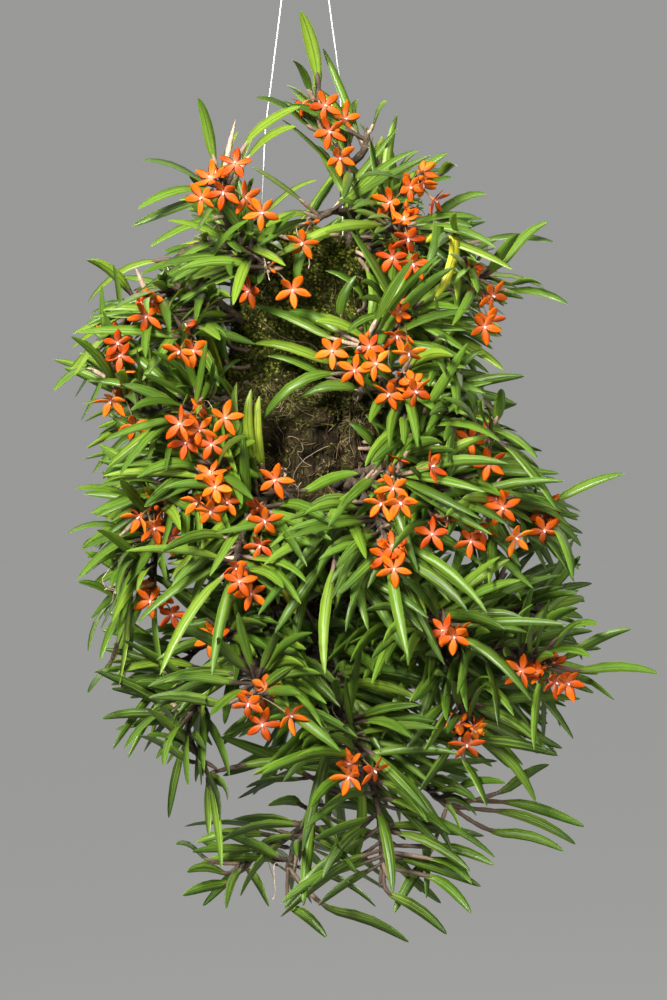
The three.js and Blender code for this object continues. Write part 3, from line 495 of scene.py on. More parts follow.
moss_green = marked_finish("moss", "shade", 0.85, (0.0, (0.006, 0.009, 0.001)), (0.35, (0.03, 0.043, 0.004)),
                           (0.7, (0.125, 0.155, 0.012)), (0.92, (0.28, 0.31, 0.035)),
                           (1.0, (0.5, 0.46, 0.14)), Specular_IOR_Level=0.1)
moss = mossing.make("moss", slab.copy(), Tuft=tuft, Density=TUFTS_TO_SQUARE_METRE, Seed=3,
                    Material=moss_green)

# loose fibres, thickest on the bare lower part
fibres = Lines()
fibre_rng = np.random.default_rng(21)
for number in range(LOOSE_FIBRES):
    z = fibre_rng.uniform(SLAB_BOTTOM + 8, SLAB_TOP - 6)
    if z > MOSS_EDGE and fibre_rng.random() < 0.6:
        continue
    angle = fibre_rng.uniform(0, 2 * math.pi)
    run = fibre_rng.uniform(12, 60)
    slant = fibre_rng.normal(0, 0.35)
    steps = np.linspace(0, 1, 6)
    lift = fibre_rng.uniform(-0.5, 1.2) + fibre_rng.uniform(0, 4.5) * steps ** 3
    wander = angle + slant * run * steps / 60 + 0.05 * np.sin(steps * 7 + number)
    path = on_felt(slab_point(wander, np.clip(z - run * steps, SLAB_BOTTOM, SLAB_TOP)), lift)
    fibres.add(path, np.linspace(0.42, 0.16, 6) * fibre_rng.uniform(0.6, 1.3), fibre_rng.random())
for number in range(PALE_ROOTLETS):
    steps = np.linspace(0, 1, 12)
    run = fibre_rng.uniform(14, 42)
    slant = fibre_rng.normal(0, 1.1)
    z = fibre_rng.uniform(SLAB_BOTTOM + 20, SLAB_TOP - 12)
    wander = fibre_rng.uniform(0, 2 * math.pi) + run * slant * steps / 90 + 0.06 * np.sin(8 * steps + number)
    path = slab_point(wander, np.clip(z - run * steps + 3 * np.sin(11 * steps), SLAB_BOTTOM, SLAB_TOP))
    fibres.add(on_felt(path, 1 + 2 * np.sin(5 * steps + number) ** 2), 0.26, fibre_rng.uniform(0.88, 1))
fibre_brown = marked_finish("loose_fibre", "shade", 0.85, (0.0, (0.02, 0.012, 0.007)),
                            (0.6, (0.085, 0.052, 0.026)), (0.93, (0.2, 0.14, 0.08)),
                            (1.0, (0.4, 0.33, 0.23)), Specular_IOR_Level=0.1)
fibre_round = round_section(3)
fibre_mesh = fibres.sweep("fibres", fibre_round, fibre_brown)

# the matted fibre of the bare part: short and curled, lying every way
mat = Lines()
for number in range(MATTED_FIBRES):
    z = MOSS_EDGE + 16 - abs(fibre_rng.normal(0, 75))
    if z < SLAB_BOTTOM + 8:
        continue
    angle = fibre_rng.uniform(0, 2 * math.pi)
    steps = np.linspace(-1, 1, 4)
    slant = fibre_rng.uniform(0, 2 * math.pi)
    run = fibre_rng.uniform(2.5, 7)
    curl = fibre_rng.normal(0, 0.4)
    bearing = slant + curl * steps
    across = np.cumsum(np.cos(bearing)) * run / 3
    down = np.cumsum(np.sin(bearing)) * run / 3
    height = np.clip(z + down - down.mean(), SLAB_BOTTOM, SLAB_TOP)
    lift = fibre_rng.uniform(-0.3, 1.7) + fibre_rng.normal(0, 0.8) * steps
    path = on_felt(slab_point(angle + (across - across.mean()) / 55, height), lift)
    gloom = gloom_at(path[:, 0], path[:, 2]).max() if path[0, 1] < 0 else 0
    if fibre_rng.random() < 0.85 * gloom:
        continue
    clump = 0.5 + 0.5 * math.sin(0.23 * path[0, 0] + 3) * math.sin(0.19 * path[0, 2])
    # painted shade: fibres darker in the shadow of the hollows, over their random tone in clumps
    shade = fibre_rng.random() ** 0.7 * (0.6 + 0.4 * clump) * max(0, 1 - gloom)
    mat.add(path, np.array([0.16, 0.34, 0.34, 0.16]) * fibre_rng.uniform(0.7, 1.3), shade)
mat_brown = marked_finish("matted_fibre", "shade", 0.85, (0.0, (0.008, 0.006, 0.003)),
                          (0.35, (0.045, 0.034, 0.014)), (0.7, (0.19, 0.155, 0.07)),
                          (1.0, (0.42, 0.37, 0.19)), Specular_IOR_Level=0.1)
mat_mesh = mat.sweep("mat", fibre_round, mat_brown)
felted = {"fern_slab": slab, "slab_moss": moss, "slab_fibres": fibre_mesh, "slab_mat": mat_mesh}
for name, mesh in felted.items():
    piece(name, "slab_fibre", "mount_slab", mesh)


# The creeping stems root in the slab and branch into arms. Each is wrapped in old papery sheaths that
# have weathered to a dark net, one above the other.
VIEW_DISTANCE = 2600
VIEW_CENTRE_X = 26
VIEW_CENTRE_Z = -652
STEM_STRETCH = 48
STEM_ROOT_RADIUS = 4.4
STEM_TIP_RADIUS = 3.0
STEM_END_TURN = 9
STEM_POINT_STEP = 3
HEART_AHEAD = 4
FREE_DEPTH = 34
SHEATH_STEP = 11
STANDING_SLIM = 0.95
HANGING_SLIM = 0.78
HANGING_DARK = 0.28

SPRAYS = {
    "crown": [
        [(36, -19, -438), (42, -20, -398), (41, -28, -354), (19, -26, -330), (12, -20, -300)],
        [(42, -20, -398), (26, -44, -392), (6, -62, -402)],
        [(41, -28, -354), (54, -38, -336), (56, -40, -316)]],
    "shoulder_left": [
        [(-36, -12, -458), (-60, -34, -428), (-70, -52, -398), (-73, -60, -366)],
        [(-60, -34, -428), (-48, -66, -428), (-32, -80, -442)],
        [(-60, -34, -428), (-92, -26, -424), (-120, -22, -440)]],
    "top_right": [
        [(50, -8, -442), (66, -20, -412), (84, -46, -388), (98, -62, -366)],
        [(66, -20, -412), (74, -60, -408), (88, -88, -406)],
        [(66, -20, -412), (72, -8, -376), (80, -10, -344)]],
    "right_arm": [
        [(50, 2, -470), (84, -8, -432), (118, -28, -402), (140, -44, -424), (153, -58, -456)],
        [(84, -8, -432), (116, -4, -452), (138, -6, -484)]],
    "right_shoulder": [
        [(46, -16, -505), (74, -48, -492), (88, -84, -486)],
        [(74, -48, -492), (112, -56, -506), (140, -52, -536), (158, -50, -566)],
        [(74, -48, -492), (66, -88, -510), (52, -108, -514)]],
    "right_mid": [
        [(46, -20, -556), (72, -58, -548), (86, -98, -540)],
        [(72, -58, -548), (118, -74, -568), (150, -82, -582), (166, -86, -594)],
        [(72, -58, -548), (96, -96, -582), (112, -116, -606)]],
    "right_low": [
        [(46, -14, -612), (86, -46, -624), (130, -68, -636), (172, -88, -652)],
        [(130, -68, -636), (178, -44, -652), (212, -42, -664)],
        [(86, -46, -624), (118, -90, -650), (118, -112, -668)]],
    "centre": [
        [(26, -22, -640), (42, -64, -630), (66, -108, -624), (80, -130, -630)],
        [(42, -64, -630), (62, -110, -664), (78, -130, -696)],
        [(42, -64, -630), (30, -104, -672), (28, -122, -716)]],
    "left_shoulder": [
        [(-46, -6, -500), (-80, -28, -474), (-114, -44, -462), (-138, -50, -474)],
        [(-80, -28, -474), (-98, -66, -484), (-103, -74, -506)],
        [(-114, -44, -462), (-146, -22, -480), (-164, -26, -502)]],
    "left_mid": [
        [(-46, -4, -556), (-84, -16, -566), (-134, -26, -574), (-158, -32, -564), (-168, -40, -546)],
        [(-84, -16, -566), (-94, -58, -568), (-100, -88, -576)]],
    "left_low": [
        [(-44, -14, -606), (-70, -50, -616), (-84, -86, -632)],
        [(-70, -50, -616), (-108, -52, -640), (-136, -50, -660)],
        [(-108, -52, -640), (-132, -30, -690), (-134, -34, -730)],
        [(-132, -30, -690), (-158, -10, -716), (-160, -6, -760)]],
    "left_front": [
        [(-26, -22, -650), (-36, -64, -652), (-38, -102, -660)],
        [(-36, -64, -652), (-56, -92, -682), (-62, -112, -712)],
        [(-36, -64, -652), (-22, -86, -640), (-20, -96, -626)]],
    "low_left": [
        [(-16, -10, -740), (-38, -26, -768), (-72, -44, -772)],
        [(-38, -26, -768), (-42, -72, -800), (-44, -112, -826)],
        [(-38, -26, -768), (-82, -18, -812), (-104, -20, -858), (-84, -26, -900)]],
    "low_right": [
        [(28, -8, -738), (62, -26, -758), (122, -50, -778), (178, -58, -790), (214, -62, -800)],
        [(122, -50, -778), (140, -52, -826), (143, -58, -858)],
        [(62, -26, -758), (100, -84, -760), (128, -106, -766)],
        [(122, -50, -778), (170, -16, -752), (218, -12, -752)]],
    "low_centre": [
        [(8, -8, -750), (20, -34, -800), (36, -58, -848), (50, -76, -884)],
        [(36, -58, -848), (64, -38, -920), (70, -30, -988)]],
    "tails": [
        [(0, 8, -748), (6, 6, -812), (14, -6, -910), (-18, -12, -984)],
        [(6, 6, -812), (50, 12, -868), (100, 4, -904), (132, -8, -930)],
        [(14, -6, -910), (-6, 16, -950), (-60, 12, -984)]],
    "back_top": [
        [(0, 12, -448), (4, 50, -424), (24, 88, -428), (52, 112, -450)],
        [(4, 50, -424), (-34, 76, -424), (-70, 92, -452)],
        [(24, 88, -428), (84, 82, -450), (112, 72, -490)]],
    "back_left": [
        [(-24, 16, -560), (-48, 56, -556), (-84, 92, -572), (-104, 108, -612)],
        [(-48, 56, -556), (-112, 50, -560), (-154, 46, -592)],
        [(-84, 92, -572), (-52, 132, -600), (-40, 142, -654)]],
    "back_right": [
        [(26, 16, -580), (52, 56, -572), (92, 90, -586), (120, 104, -626)],
        [(52, 56, -572), (118, 44, -590), (170, 36, -620)],
        [(92, 90, -586), (52, 132, -620), (34, 146, -672)]],
    "back_low": [
        [(2, 14, -720), (0, 58, -742), (-36, 98, -772), (-60, 112, -822)],
        [(0, 58, -742), (52, 96, -774), (84, 108, -826)],
        [(-36, 98, -772), (-96, 62, -786), (-124, 44, -832)],
        [(52, 96, -774), (124, 62, -782), (168, 44, -826)],
        [(0, 58, -742), (6, 84, -830), (20, 74, -900)]],
}
HANGING_SPRAYS = ("low_left", "low_right", "low_centre", "tails", "back_low")


def seen(x, y, z):
    """The true place of a point seen at x and z from the front, at depth y."""
    near = 1 + y / VIEW_DISTANCE
    return np.array([VIEW_CENTRE_X + (x - VIEW_CENTRE_X) * near, y,
                     VIEW_CENTRE_Z + (z - VIEW_CENTRE_Z) * near])


def smooth_line(points, shares):
    """Points on a smooth line through the points, at shares of its way."""
    points = np.asarray(points, float)
    padded = np.concatenate([[2 * points[0] - points[1]], points, [2 * points[-1] - points[-2]]])
    places = np.asarray(shares, float) * (len(points) - 1)
    spans = np.minimum(places.astype(int), len(points) - 2)
    t = (places - spans)[:, None]
    p0, p1, p2, p3 = (padded[spans + step] for step in range(4))
    square = (2 * p0 - 5 * p1 + 4 * p2 - p3) * t ** 2
    return 0.5 * (2 * p1 + (p2 - p0) * t + square + (3 * p1 - p0 - 3 * p2 + p3) * t ** 3)


def lengths_along(points):
    steps = np.linalg.norm(np.diff(points, axis=0), axis=1)
    return np.concatenate([[0], np.cumsum(steps)])


def along_line(line, lengths, places):
    return np.stack([np.interp(places, lengths, line[:, axis]) for axis in range(3)], axis=1)


class Arm:
    """One arm of a stem: its midline, and whether blooms open at its end."""

    def __init__(self, spray, number, path, joints):
        points = [seen(*point) if abs(point[1]) > FREE_DEPTH else np.array(point, float) for point in path]
        chain = [joints.get(path[0], points[0])]
        for span in range(len(points) - 1):
            apart = np.linalg.norm(points[span + 1] - points[span])
            parts = 1 if number == 0 and span == 0 else math.ceil(apart / STEM_STRETCH)
            shares = (span + (np.arange(parts) + 1) / parts) / (len(points) - 1)
            chain += list(smooth_line(points, shares))
            joints[path[span + 1]] = chain[-1]
        self.name = f"{spray}_{number + 1}"
        self.spray = spray
        self.number = number
        self.flowering = f"bloom_{self.name}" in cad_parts
        if self.flowering:
            outside = 1 if chain[-1][1] > 0 else -1
            chain.append(chain[-1] + (0, outside * STEM_END_TURN, -1))
        rough = smooth_line(chain, np.linspace(0, 1, 12 * len(chain)))
        runs = lengths_along(rough)
        self.length = runs[-1]
        self.runs = np.linspace(0, self.length, max(4, int(self.length / STEM_POINT_STEP)))
        self.line = along_line(rough, runs, self.runs)
        self.end = self.line[-1]
        self.heading = unit(chain[-1] - chain[-2])
        self.heart = self.end + HEART_AHEAD * self.heading

    def at(self, run):
        behind, spot, ahead = along_line(self.line, self.runs, [run - 4, run, run + 4])
        return spot, unit(ahead - behind)

    def nearest(self, point):
        return self.line[np.argmin(np.linalg.norm(self.line - point, axis=1))]


arms = []
for spray, paths in SPRAYS.items():
    joints = {}
    arms += [Arm(spray, number, path, joints) for number, path in enumerate(paths)]
arm_named = {arm.name: arm for arm in arms}

stem_bark = Finish("stem_sheaths", Specular_IOR_Level=0.2)
bark_shade = stem_bark.mark("shade")
cells = stem_bark.node("ShaderNodeTexVoronoi", {"feature": "DISTANCE_TO_EDGE"},
                       {"Vector": stem_bark.place((1, 1, 0.45)), "Scale": 900.0})
net = stem_bark.math("SMOOTH_MIN", cells * 6, 1.0, 0.4)
bark = stem_bark.ramp(bark_shade + 0.35 * stem_bark.noise(160, 4) - 0.17,
                      (0.0, (0.01, 0.008, 0.006)), (0.55, (0.04, 0.028, 0.02)), (1.0, (0.18, 0.125, 0.085)))
netted = stem_bark.mix((1 - net) * (bark_shade * 1.4 - 0.05), bark, (0.22, 0.17, 0.12))
stem_bark.finish(netted, 0.8, net, 0.0005)

stem_round = round_section(9)
stem_rng = np.random.default_rng(5)
stems = {spray: Lines() for spray in SPRAYS}
for arm in arms:
    hanging = arm.spray in HANGING_SPRAYS
    root = STEM_ROOT_RADIUS if arm.number == 0 else STEM_ROOT_RADIUS - 0.6
    slim = HANGING_SLIM if hanging else STANDING_SLIM
    radii = np.interp(arm.runs, [0, arm.length], [root, STEM_TIP_RADIUS]) * slim
    phase = stem_rng.uniform(0, SHEATH_STEP)
    share = ((arm.runs + phase) % SHEATH_STEP) / SHEATH_STEP
    dark = HANGING_DARK if hanging else 0
    tone = np.interp(arm.runs, [0, arm.length], [0.25 - dark, 0.55 - dark])
    tone = tone + stem_rng.normal(0, 0.09, len(arm.runs))
    tail = 1 if arm.flowering else np.clip((arm.length - arm.runs + 1) / 9, 0.12, 1)
    stems[arm.spray].add(arm.line, radii * (0.9 + 0.25 * share) * tail, tone + 0.25 * share)


# The leaves are fleshy straps with a channel down the middle and a blunt point. Each stands on a short
# shoot, arches outwards, and is paler where it leaves its sheath.
LEAF_WIDTH = 9.4
LEAF_LENGTH = 72
SHOOT_LENGTH = 20
LONGEST_SHOOT = 1.6 * SHOOT_LENGTH
BLADE_FROM = 0.24
# the CAD blades: how far their keel lies below the edges, the shares of the way up of their two sections, and
# the widths between which the upper one lies
LEAF_RISE = 0.5
FIRST_SECTION, LAST_SECTION = 0.3, 0.76
LAST_WIDTHS = (7.5, 9)
CELL = 5.0
LEAF_SPACING = 8.0
LEAVES_AT_SPOT = 3
LEAF_ATTEMPTS = 14
SLAB_SHOOTS = 420
MOST_TURN = 1.5
MOST_DEPTH = 178
DEPTH_SHARE = 0.44
BARE_DEPTH = 10
SLAB_CLEARANCE = 5
# the shares of the places on a stem that stay without a leaf: near its top, its bottom and its sides
SPARSE_ABOVE, SPARSE_SHARE_ABOVE = -412, 0.65
SPARSE_BELOW, SPARSE_SHARE_BELOW = -850, 0.5
SIDES_FROM, SPARSE_SHARE_SIDES = 0.85, 0.4
# where gaps are looked for: their x and z, and the depths that are looked through
GAP_SPAN = ((-180, 250), (-870, -425))
GAP_DEPTHS = np.arange(-150, 160, CELL / 2)
GAP_TRIES = 4500
GAP_ATTEMPTS = 20
STEM_NEAREST, STEM_FURTHEST = 22, 92
# the share of the way up a blade, and its width there as a share of the full width
BLADE_WIDTHS = [(0, 0.36), (0.08, 0.56), (0.2, 0.84), (0.36, 1.03), (0.56, 1.0), (0.75, 0.82), (0.88, 0.57),
                (0.96, 0.32), (1, 0.06)]
SHEATH_RADII = 2.0 * np.array([0.8, 1.05, 0.85, 1.05, 0.9, 1.1, 1.1, 0.9, 0.35])
PLANT_TOP, PLANT_BOTTOM = -225, -1056
# the plant's outline as seen from the front: height, left edge, right edge
OUTLINE = [
    (-205, -12, 24), (-285, -100, 40), (-300, -104, 80), (-345, -150, 140), (-400, -152, 222),
    (-455, -205, 238), (-500, -228, 205), (-530, -228, 165), (-560, -228, 190), (-600, -208, 200),
    (-628, -202, 288), (-680, -214, 254), (-740, -205, 262), (-770, -200, 296), (-815, -196, 318),
    (-850, -192, 292), (-890, -166, 258), (-940, -122, 258), (-975, -120, 244), (-1010, -116, 165),
    (-1050, -14, 136), (-1062, 10, 110),
]
# the dense part of the plant, from which only the outer halves of leaves stand out
MASS = [
    (-270, 2, 40), (-320, 0, 60), (-355, -95, 86), (-380, -98, 112), (-409, -95, 145), (-436, -110, 158),
    (-463, -155, 172), (-490, -180, 152), (-518, -190, 138), (-545, -188, 148), (-572, -178, 176),
    (-600, -164, 180), (-625, -168, 196), (-652, -172, 222), (-680, -182, 232), (-707, -176, 242),
    (-735, -172, 256), (-761, -164, 262), (-788, -164, 258), (-815, -156, 258), (-842, -150, 232),
    (-869, -136, 222), (-896, -104, 212), (-923, -86, 182), (-950, -82, 176), (-977, -92, 150),
    (-1004, -58, 138), (-1031, -12, 120), (-1050, 14, 94),
]
PLANT_CENTRE = np.array([15, 0, -640])
PLANT_HALF = np.array([240, 165, 410])
# where the slab shows at the front: height, left edge, right edge
BARE_FRONT = [
    (-418, 12, 42), (-445, -8, 51), (-470, -60, 48), (-517, -70, 24), (-562, -60, 54), (-598, -44, 57),
    (-634, -30, 51), (-655, -20, 36),
]
# where the backdrop shows between the leaves, as seen from the front: x, z and reach
CLEARINGS = [
    (-22, -344, 26), (2, -366, 18), (-22, -378, 17), (22, -392, 11), (64, -306, 18), (48, -345, 10),
    (-98, -352, 24), (-110, -412, 10), (124, -372, 20), (-120, -752, 14), (-104, -790, 18), (-72, -838, 18),
    (-28, -862, 13), (-20, -925, 14), (-172, -560, 10),
]
# leaves that have turned yellow: x and z of their middle as seen from the front, and their shade
YELLOW_LEAVES = [
    (60, -337, 0.87), (121, -413, 0.92), (138, -428, 0.95), (-43, -434, 0.78), (-20, -736, 0.92),
    (-126, -500, 0.84), (-63, -584, 0.74), (-51, -589, 0.82), (-43, -594, 0.85), (-115, -553, 0.78),
    (-141, -576, 0.76), (-73, -518, 0.88), (160, -498, 0.8), (-60, -560, 0.78), (78, -470, 0.78),
    (-130, -640, 0.7), (100, -770, 0.7),
]


def cells_at(points):
    """The cells of space that hold the points."""
    return {tuple(cell) for cell in np.floor(points / CELL).astype(int)}


def drawn(rng, *ranges):
    """Numbers drawn one after the other, each from its range."""
    return np.array([rng.uniform(low, high) for low, high in ranges])


class Leaf:
    """A shoot from its root to its base, and the blade from the base to the tip, arched by its bow."""

    def __init__(self, root, base, tip, bow, broad, width=1.0, shade=0.4):
        self.root, self.base, self.tip = root, base, tip
        self.bow, self.broad, self.width, self.shade = bow, broad, width, shade

    def blade(self, shares):
        t = np.asarray(shares)[:, None]
        return self.base + (self.tip - self.base) * t + self.bow * 4 * t * (1 - t)

    def course(self):
        """The midline from the root to the tip, rounded where the blade leaves its shoot."""
        t = np.linspace(0, 1, 7)[:, None]
        shoot = (1 - t) ** 2 * self.root + 2 * t * (1 - t) * self.base + t ** 2 * self.blade([BLADE_FROM])
        return np.concatenate([shoot, self.blade(np.linspace(BLADE_FROM, 1, 8)[1:])])

    def ways(self, points, turn=0.0):
        heading = unit(np.gradient(points, axis=0))
        broad = unit(self.broad - heading * (heading @ self.broad)[:, None])
        face = np.cross(broad, heading)
        swing = (turn * np.linspace(0, 1, len(points)))[:, None]
        return broad * np.cos(swing) + face * np.sin(swing)

    def cells(self, skip=0.0):
        shares = np.linspace(skip, 1, 12)
        points = self.blade(shares)
        aside = self.ways(points) * (0.28 * LEAF_WIDTH * self.width)
        return cells_at(np.concatenate([points, points + aside, points - aside]))


def welded(node):
    """The places of a CAD node's corners in millimetres, each once, and the corners next to each."""
    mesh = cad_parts[node].data
    places = np.array([tuple(vertex.co) for vertex in mesh.vertices]) / MM
    _, first, index = np.unique(np.round(places, 2), axis=0, return_index=True, return_inverse=True)
    near = [set() for _ in first]
    for polygon in mesh.polygons:
        ring = [int(index.ravel()[corner]) for corner in polygon.vertices]
        for a, b in zip(ring, ring[1:] + ring[:1]):
            near[a].add(b)
            near[b].add(a)
    return places[first], near


def middle_corner(ring, places):
    """The corner of a ring of three that lies between the two others."""
    return min(ring, key=lambda corner: sum(np.linalg.norm(places[corner] - places[other]) for other in ring))


def cad_leaves(node):
    """The leaves of a CAD spray, found from their tips: a tip meets three corners of the blade's last
    section, and those meet the three of the section before."""
    places, near = welded(node)
    found = []
    for tip, ring in enumerate(near):
        if len(ring) != 3 or any(b not in near[a] for a in ring for b in ring - {a}):
            continue
        keel = middle_corner(ring, places)
        left, right = ring - {keel}
        if not LAST_WIDTHS[0] < np.linalg.norm(places[left] - places[right]) < LAST_WIDTHS[1]:
            continue
        second = set().union(*(near[corner] for corner in ring)) - ring - {tip}
        if len(second) != 3:
            continue
        inner_keel = middle_corner(second, places)
        first, last = second - {inner_keel}
        foot = set().union(*(near[corner] for corner in second)) - second - ring
        root = np.mean([places[corner] for corner in foot], axis=0)
        tip_place = places[tip]
        far, mid = (places[left] + places[right]) / 2, (places[first] + places[last]) / 2
        far -= LEAF_RISE * unit(far - places[keel])
        mid -= LEAF_RISE * unit(mid - places[inner_keel])
        # the blade's base and its bow follow from the places of its two sections and its tip
        near_part, far_part = mid - FIRST_SECTION * tip_place, far - LAST_SECTION * tip_place
        before, beyond = 1 - FIRST_SECTION, 1 - LAST_SECTION
        ratio = LAST_SECTION * beyond / (FIRST_SECTION * before)
        base = (ratio * near_part - far_part) / (before * ratio - beyond)
        bow = (near_part - before * base) / (4 * FIRST_SECTION * before)
        broad = unit(places[right] - places[left])
        if np.dot(np.cross(broad, tip_place - mid), far - places[keel]) < 0:
            broad = -broad
        found.append(Leaf(root, base, tip_place, bow, broad))
    return found


def cad_flowers(node):
    """The flowers of a CAD bloom: each centre meets all twenty corners of its five tepals."""
    places, near = welded(node)
    found = []
    for centre, ring in enumerate(near):
        if len(ring) < 18:
            continue
        around = sorted(ring, key=lambda corner: np.linalg.norm(places[corner] - places[centre]))
        hollow = np.mean([places[corner] for corner in around[:5]], axis=0)
        tips = np.array([places[corner] for corner in around[-5:]])
        facing = unit(places[centre] - hollow)
        across = unit(np.cross(facing, (0.2, 0.1, 1)))
        over = np.cross(across, facing)
        turns = np.arctan2((tips - hollow) @ over, (tips - hollow) @ across)
        tips = tips[np.argsort(turns)]
        level = unit(np.sum(np.cross(tips, np.roll(tips, -1, axis=0)), axis=0))
        found.append({"centre": hollow, "facing": level * np.sign(level @ facing), "tips": tips})
    return found


leaves = {spray: cad_leaves("spray_" + spray) for spray in SPRAYS}
flowers = {arm.name: cad_flowers("bloom_" + arm.name) for arm in arms if arm.flowering}

# cells of space that growth has taken, also those in front of the flowers, which stay in view
taken = set().union(*(leaf.cells() for spray_leaves in leaves.values() for leaf in spray_leaves))
for cluster in flowers.values():
    for flower in cluster:
        spots = np.concatenate([flower["centre"] + (flower["tips"] - flower["centre"]) * share
                                for share in (0.0, 0.3, 0.6, 0.9)])
        outside = np.array([0.0, -CELL, 0.0]) * (1 if flower["centre"][1] < 0 else -1)
        for reach in range(9):
            taken |= cells_at(spots + outside * reach)
stem_cells = cells_at(np.concatenate([arm.line for arm in arms]))


def in_view(points):
    """x and z of the points as the viewer at the front sees them."""
    near = 1 + points[:, 1] / VIEW_DISTANCE
    return (VIEW_CENTRE_X + (points[:, 0] - VIEW_CENTRE_X) / near,
            VIEW_CENTRE_Z + (points[:, 2] - VIEW_CENTRE_Z) / near)


def inside(table, x, z):
    """Between the left and the right edge that the table gives for this height."""
    return (x > between(table, z, 1)) & (x < between(table, z, 2))


def at_bare_front(x, z):
    return inside(BARE_FRONT, x, z) & (z < BARE_FRONT[0][0]) & (z > BARE_FRONT[-1][0])


def in_clearing(x, z):
    return np.any([(x - middle) ** 2 + (z - height) ** 2 < reach ** 2 for middle, height, reach in CLEARINGS],
                  axis=0)


def allowed(points):
    """Within the plant's outline, off the slab and clear of its bare front."""
    x, z = in_view(points)
    near = slice(0, len(points) // 2 + 1)
    if not np.all(inside(MASS, x[near], z[near])):
        return False
    span = between(OUTLINE, z, 2) - between(OUTLINE, z, 1)
    within = inside(OUTLINE, x, z) & (z < PLANT_TOP) & (z > PLANT_BOTTOM)
    within &= np.abs(points[:, 1]) < np.minimum(MOST_DEPTH, DEPTH_SHARE * span)
    within &= ~(at_bare_front(x, z) & (points[:, 1] < BARE_DEPTH)) & ~in_clearing(x, z)
    return bool(np.all(within)) and not np.any(in_slab(points, SLAB_CLEARANCE))


def leaf_shade(rng, place):
    """Leaves are lighter towards the top and the left, and here and there one has turned yellow."""
    kind = rng.random()
    if kind < 0.003:
        return rng.uniform(0.76, 0.86)
    light = 0.2 * (place[2] - PLANT_CENTRE[2]) / PLANT_HALF[2]
    light -= 0.08 * (place[0] - PLANT_CENTRE[0]) / PLANT_HALF[0]
    if kind < 0.17:
        return min(0.76, rng.uniform(0.56, 0.76) + light)
    return min(0.7, rng.uniform(0.02, 0.58) + light)


def shell_normal(point):
    """Straight out of the plant's egg-shaped body at this point."""
    return unit((point - PLANT_CENTRE) / PLANT_HALF ** 2)


def upper_side(point, rng):
    """The way a leaf's upper face turns: out of the plant, up, and towards the light in front or behind."""
    lit = -0.7 if point[1] < 30 else 0.7
    return shell_normal(point) * 0.7 + (0, lit, 0.45) + drawn(rng, *[(-0.35, 0.35)] * 3)


# leaves that cross the bare front of the slab or hang in full view: where the shoot leaves the slab (x, z) or
# None for the nearest place of the arm, the leaf's base and tip, and its bow
CROSSING_LEAVES = [
    ("right_arm_1", None, (114, -66, -402), (104, -114, -458), (6, -16, 6)),
    ("right_arm_1", None, (124, -62, -408), (113, -108, -480), (12, -18, 6)),
    ("left_front_2", None, (-30, -116, -716), (-7, -122, -750), (4, 0, 3)),
    ("right_shoulder_3", None, (68, -92, -525), (10, -66, -489), (-4, -6, 6)),
    ("right_shoulder_3", None, (30, -84, -506), (-15, -62, -487), (0, -4, 5)),
    ("right_shoulder_3", None, (24, -88, -514), (-44, -58, -481), (0, -6, 4)),
    ("right_shoulder_3", (44, -532), (28, -62, -536), (-44, -52, -514), (-6, -10, 7)),
    ("right_shoulder_3", (40, -548), (14, -56, -544), (-33, -52, -525), (0, -6, 5)),
    ("right_shoulder_3", (44, -540), (26, -66, -541), (-37, -56, -581), (-2, -10, 12)),
    ("right_mid_1", (48, -562), (56, -60, -556), (-3, -58, -561), (0, -8, 8)),
    ("right_shoulder_1", (46, -498), (31, -56, -497), (46, -64, -455), (-4, -4, 2)),
    ("right_shoulder_1", (48, -484), (58, -56, -483), (18, -58, -450), (4, -6, 6)),
    ("top_right_1", (48, -436), (57, -50, -447), (55, -66, -505), (6, -14, 2)),
    ("top_right_1", (46, -430), (68, -52, -441), (71, -70, -526), (6, -14, 4)),
    ("crown_1", (30, -424), (36, -52, -415), (-4, -62, -472), (-16, -8, 12)),
    ("left_shoulder_1", (-44, -436), (-64, -44, -428), (-17, -56, -446), (4, -6, 5)),
    ("left_shoulder_1", None, (-92, -66, -556), (-43, -58, -515), (-5, -8, 7)),
    ("right_mid_1", (52, -600), (79, -52, -604), (54, -60, -577), (2, -5, 3)),
    ("right_mid_1", (48, -606), (70, -56, -609), (40, -60, -584), (0, -5, 3)),
    ("left_shoulder_1", (-48, -518), (-66, -18, -520), (-82, -26, -462), (-3, -4, 0)),
    ("left_shoulder_1", (-48, -532), (-68, -14, -538), (-74, -24, -478), (-4, -6, 0)),
    ("left_mid_1", (-50, -546), (-70, -12, -556), (-88, -20, -504), (-3, -5, 0)),
    ("left_mid_1", (-46, -612), (-48, -50, -622), (-59, -66, -549), (-7, -8, 0)),
    ("left_mid_1", (-42, -616), (-40, -52, -626), (-46, -68, -555), (-6, -9, 0)),
    ("left_mid_1", (-38, -620), (-34, -50, -631), (-39, -64, -561), (-5, -9, 0)),
    ("left_front_1", (-28, -668), (-30, -62, -672), (22, -84, -700), (0, -8, 9)),
    ("left_front_1", (-20, -676), (-12, -60, -684), (-22, -96, -742), (-4, -12, 6)),
    ("left_front_1", (-6, -680), (0, -58, -690), (26, -92, -742), (0, -10, 8)),
    ("centre_1", (20, -690), (12, -60, -696), (-30, -94, -724), (0, -10, 9)),
    ("centre_1", (4, -706), (8, -60, -716), (-8, -90, -780), (-2, -12, 6)),
]


def slab_front(x, z):
    """The front surface of the slab at this x and height."""
    around = slab_point(np.linspace(-1.5, 1.5, 241), z)
    return around[np.argmin(np.abs(around[:, 0] - x))] + (0, 1, 0)


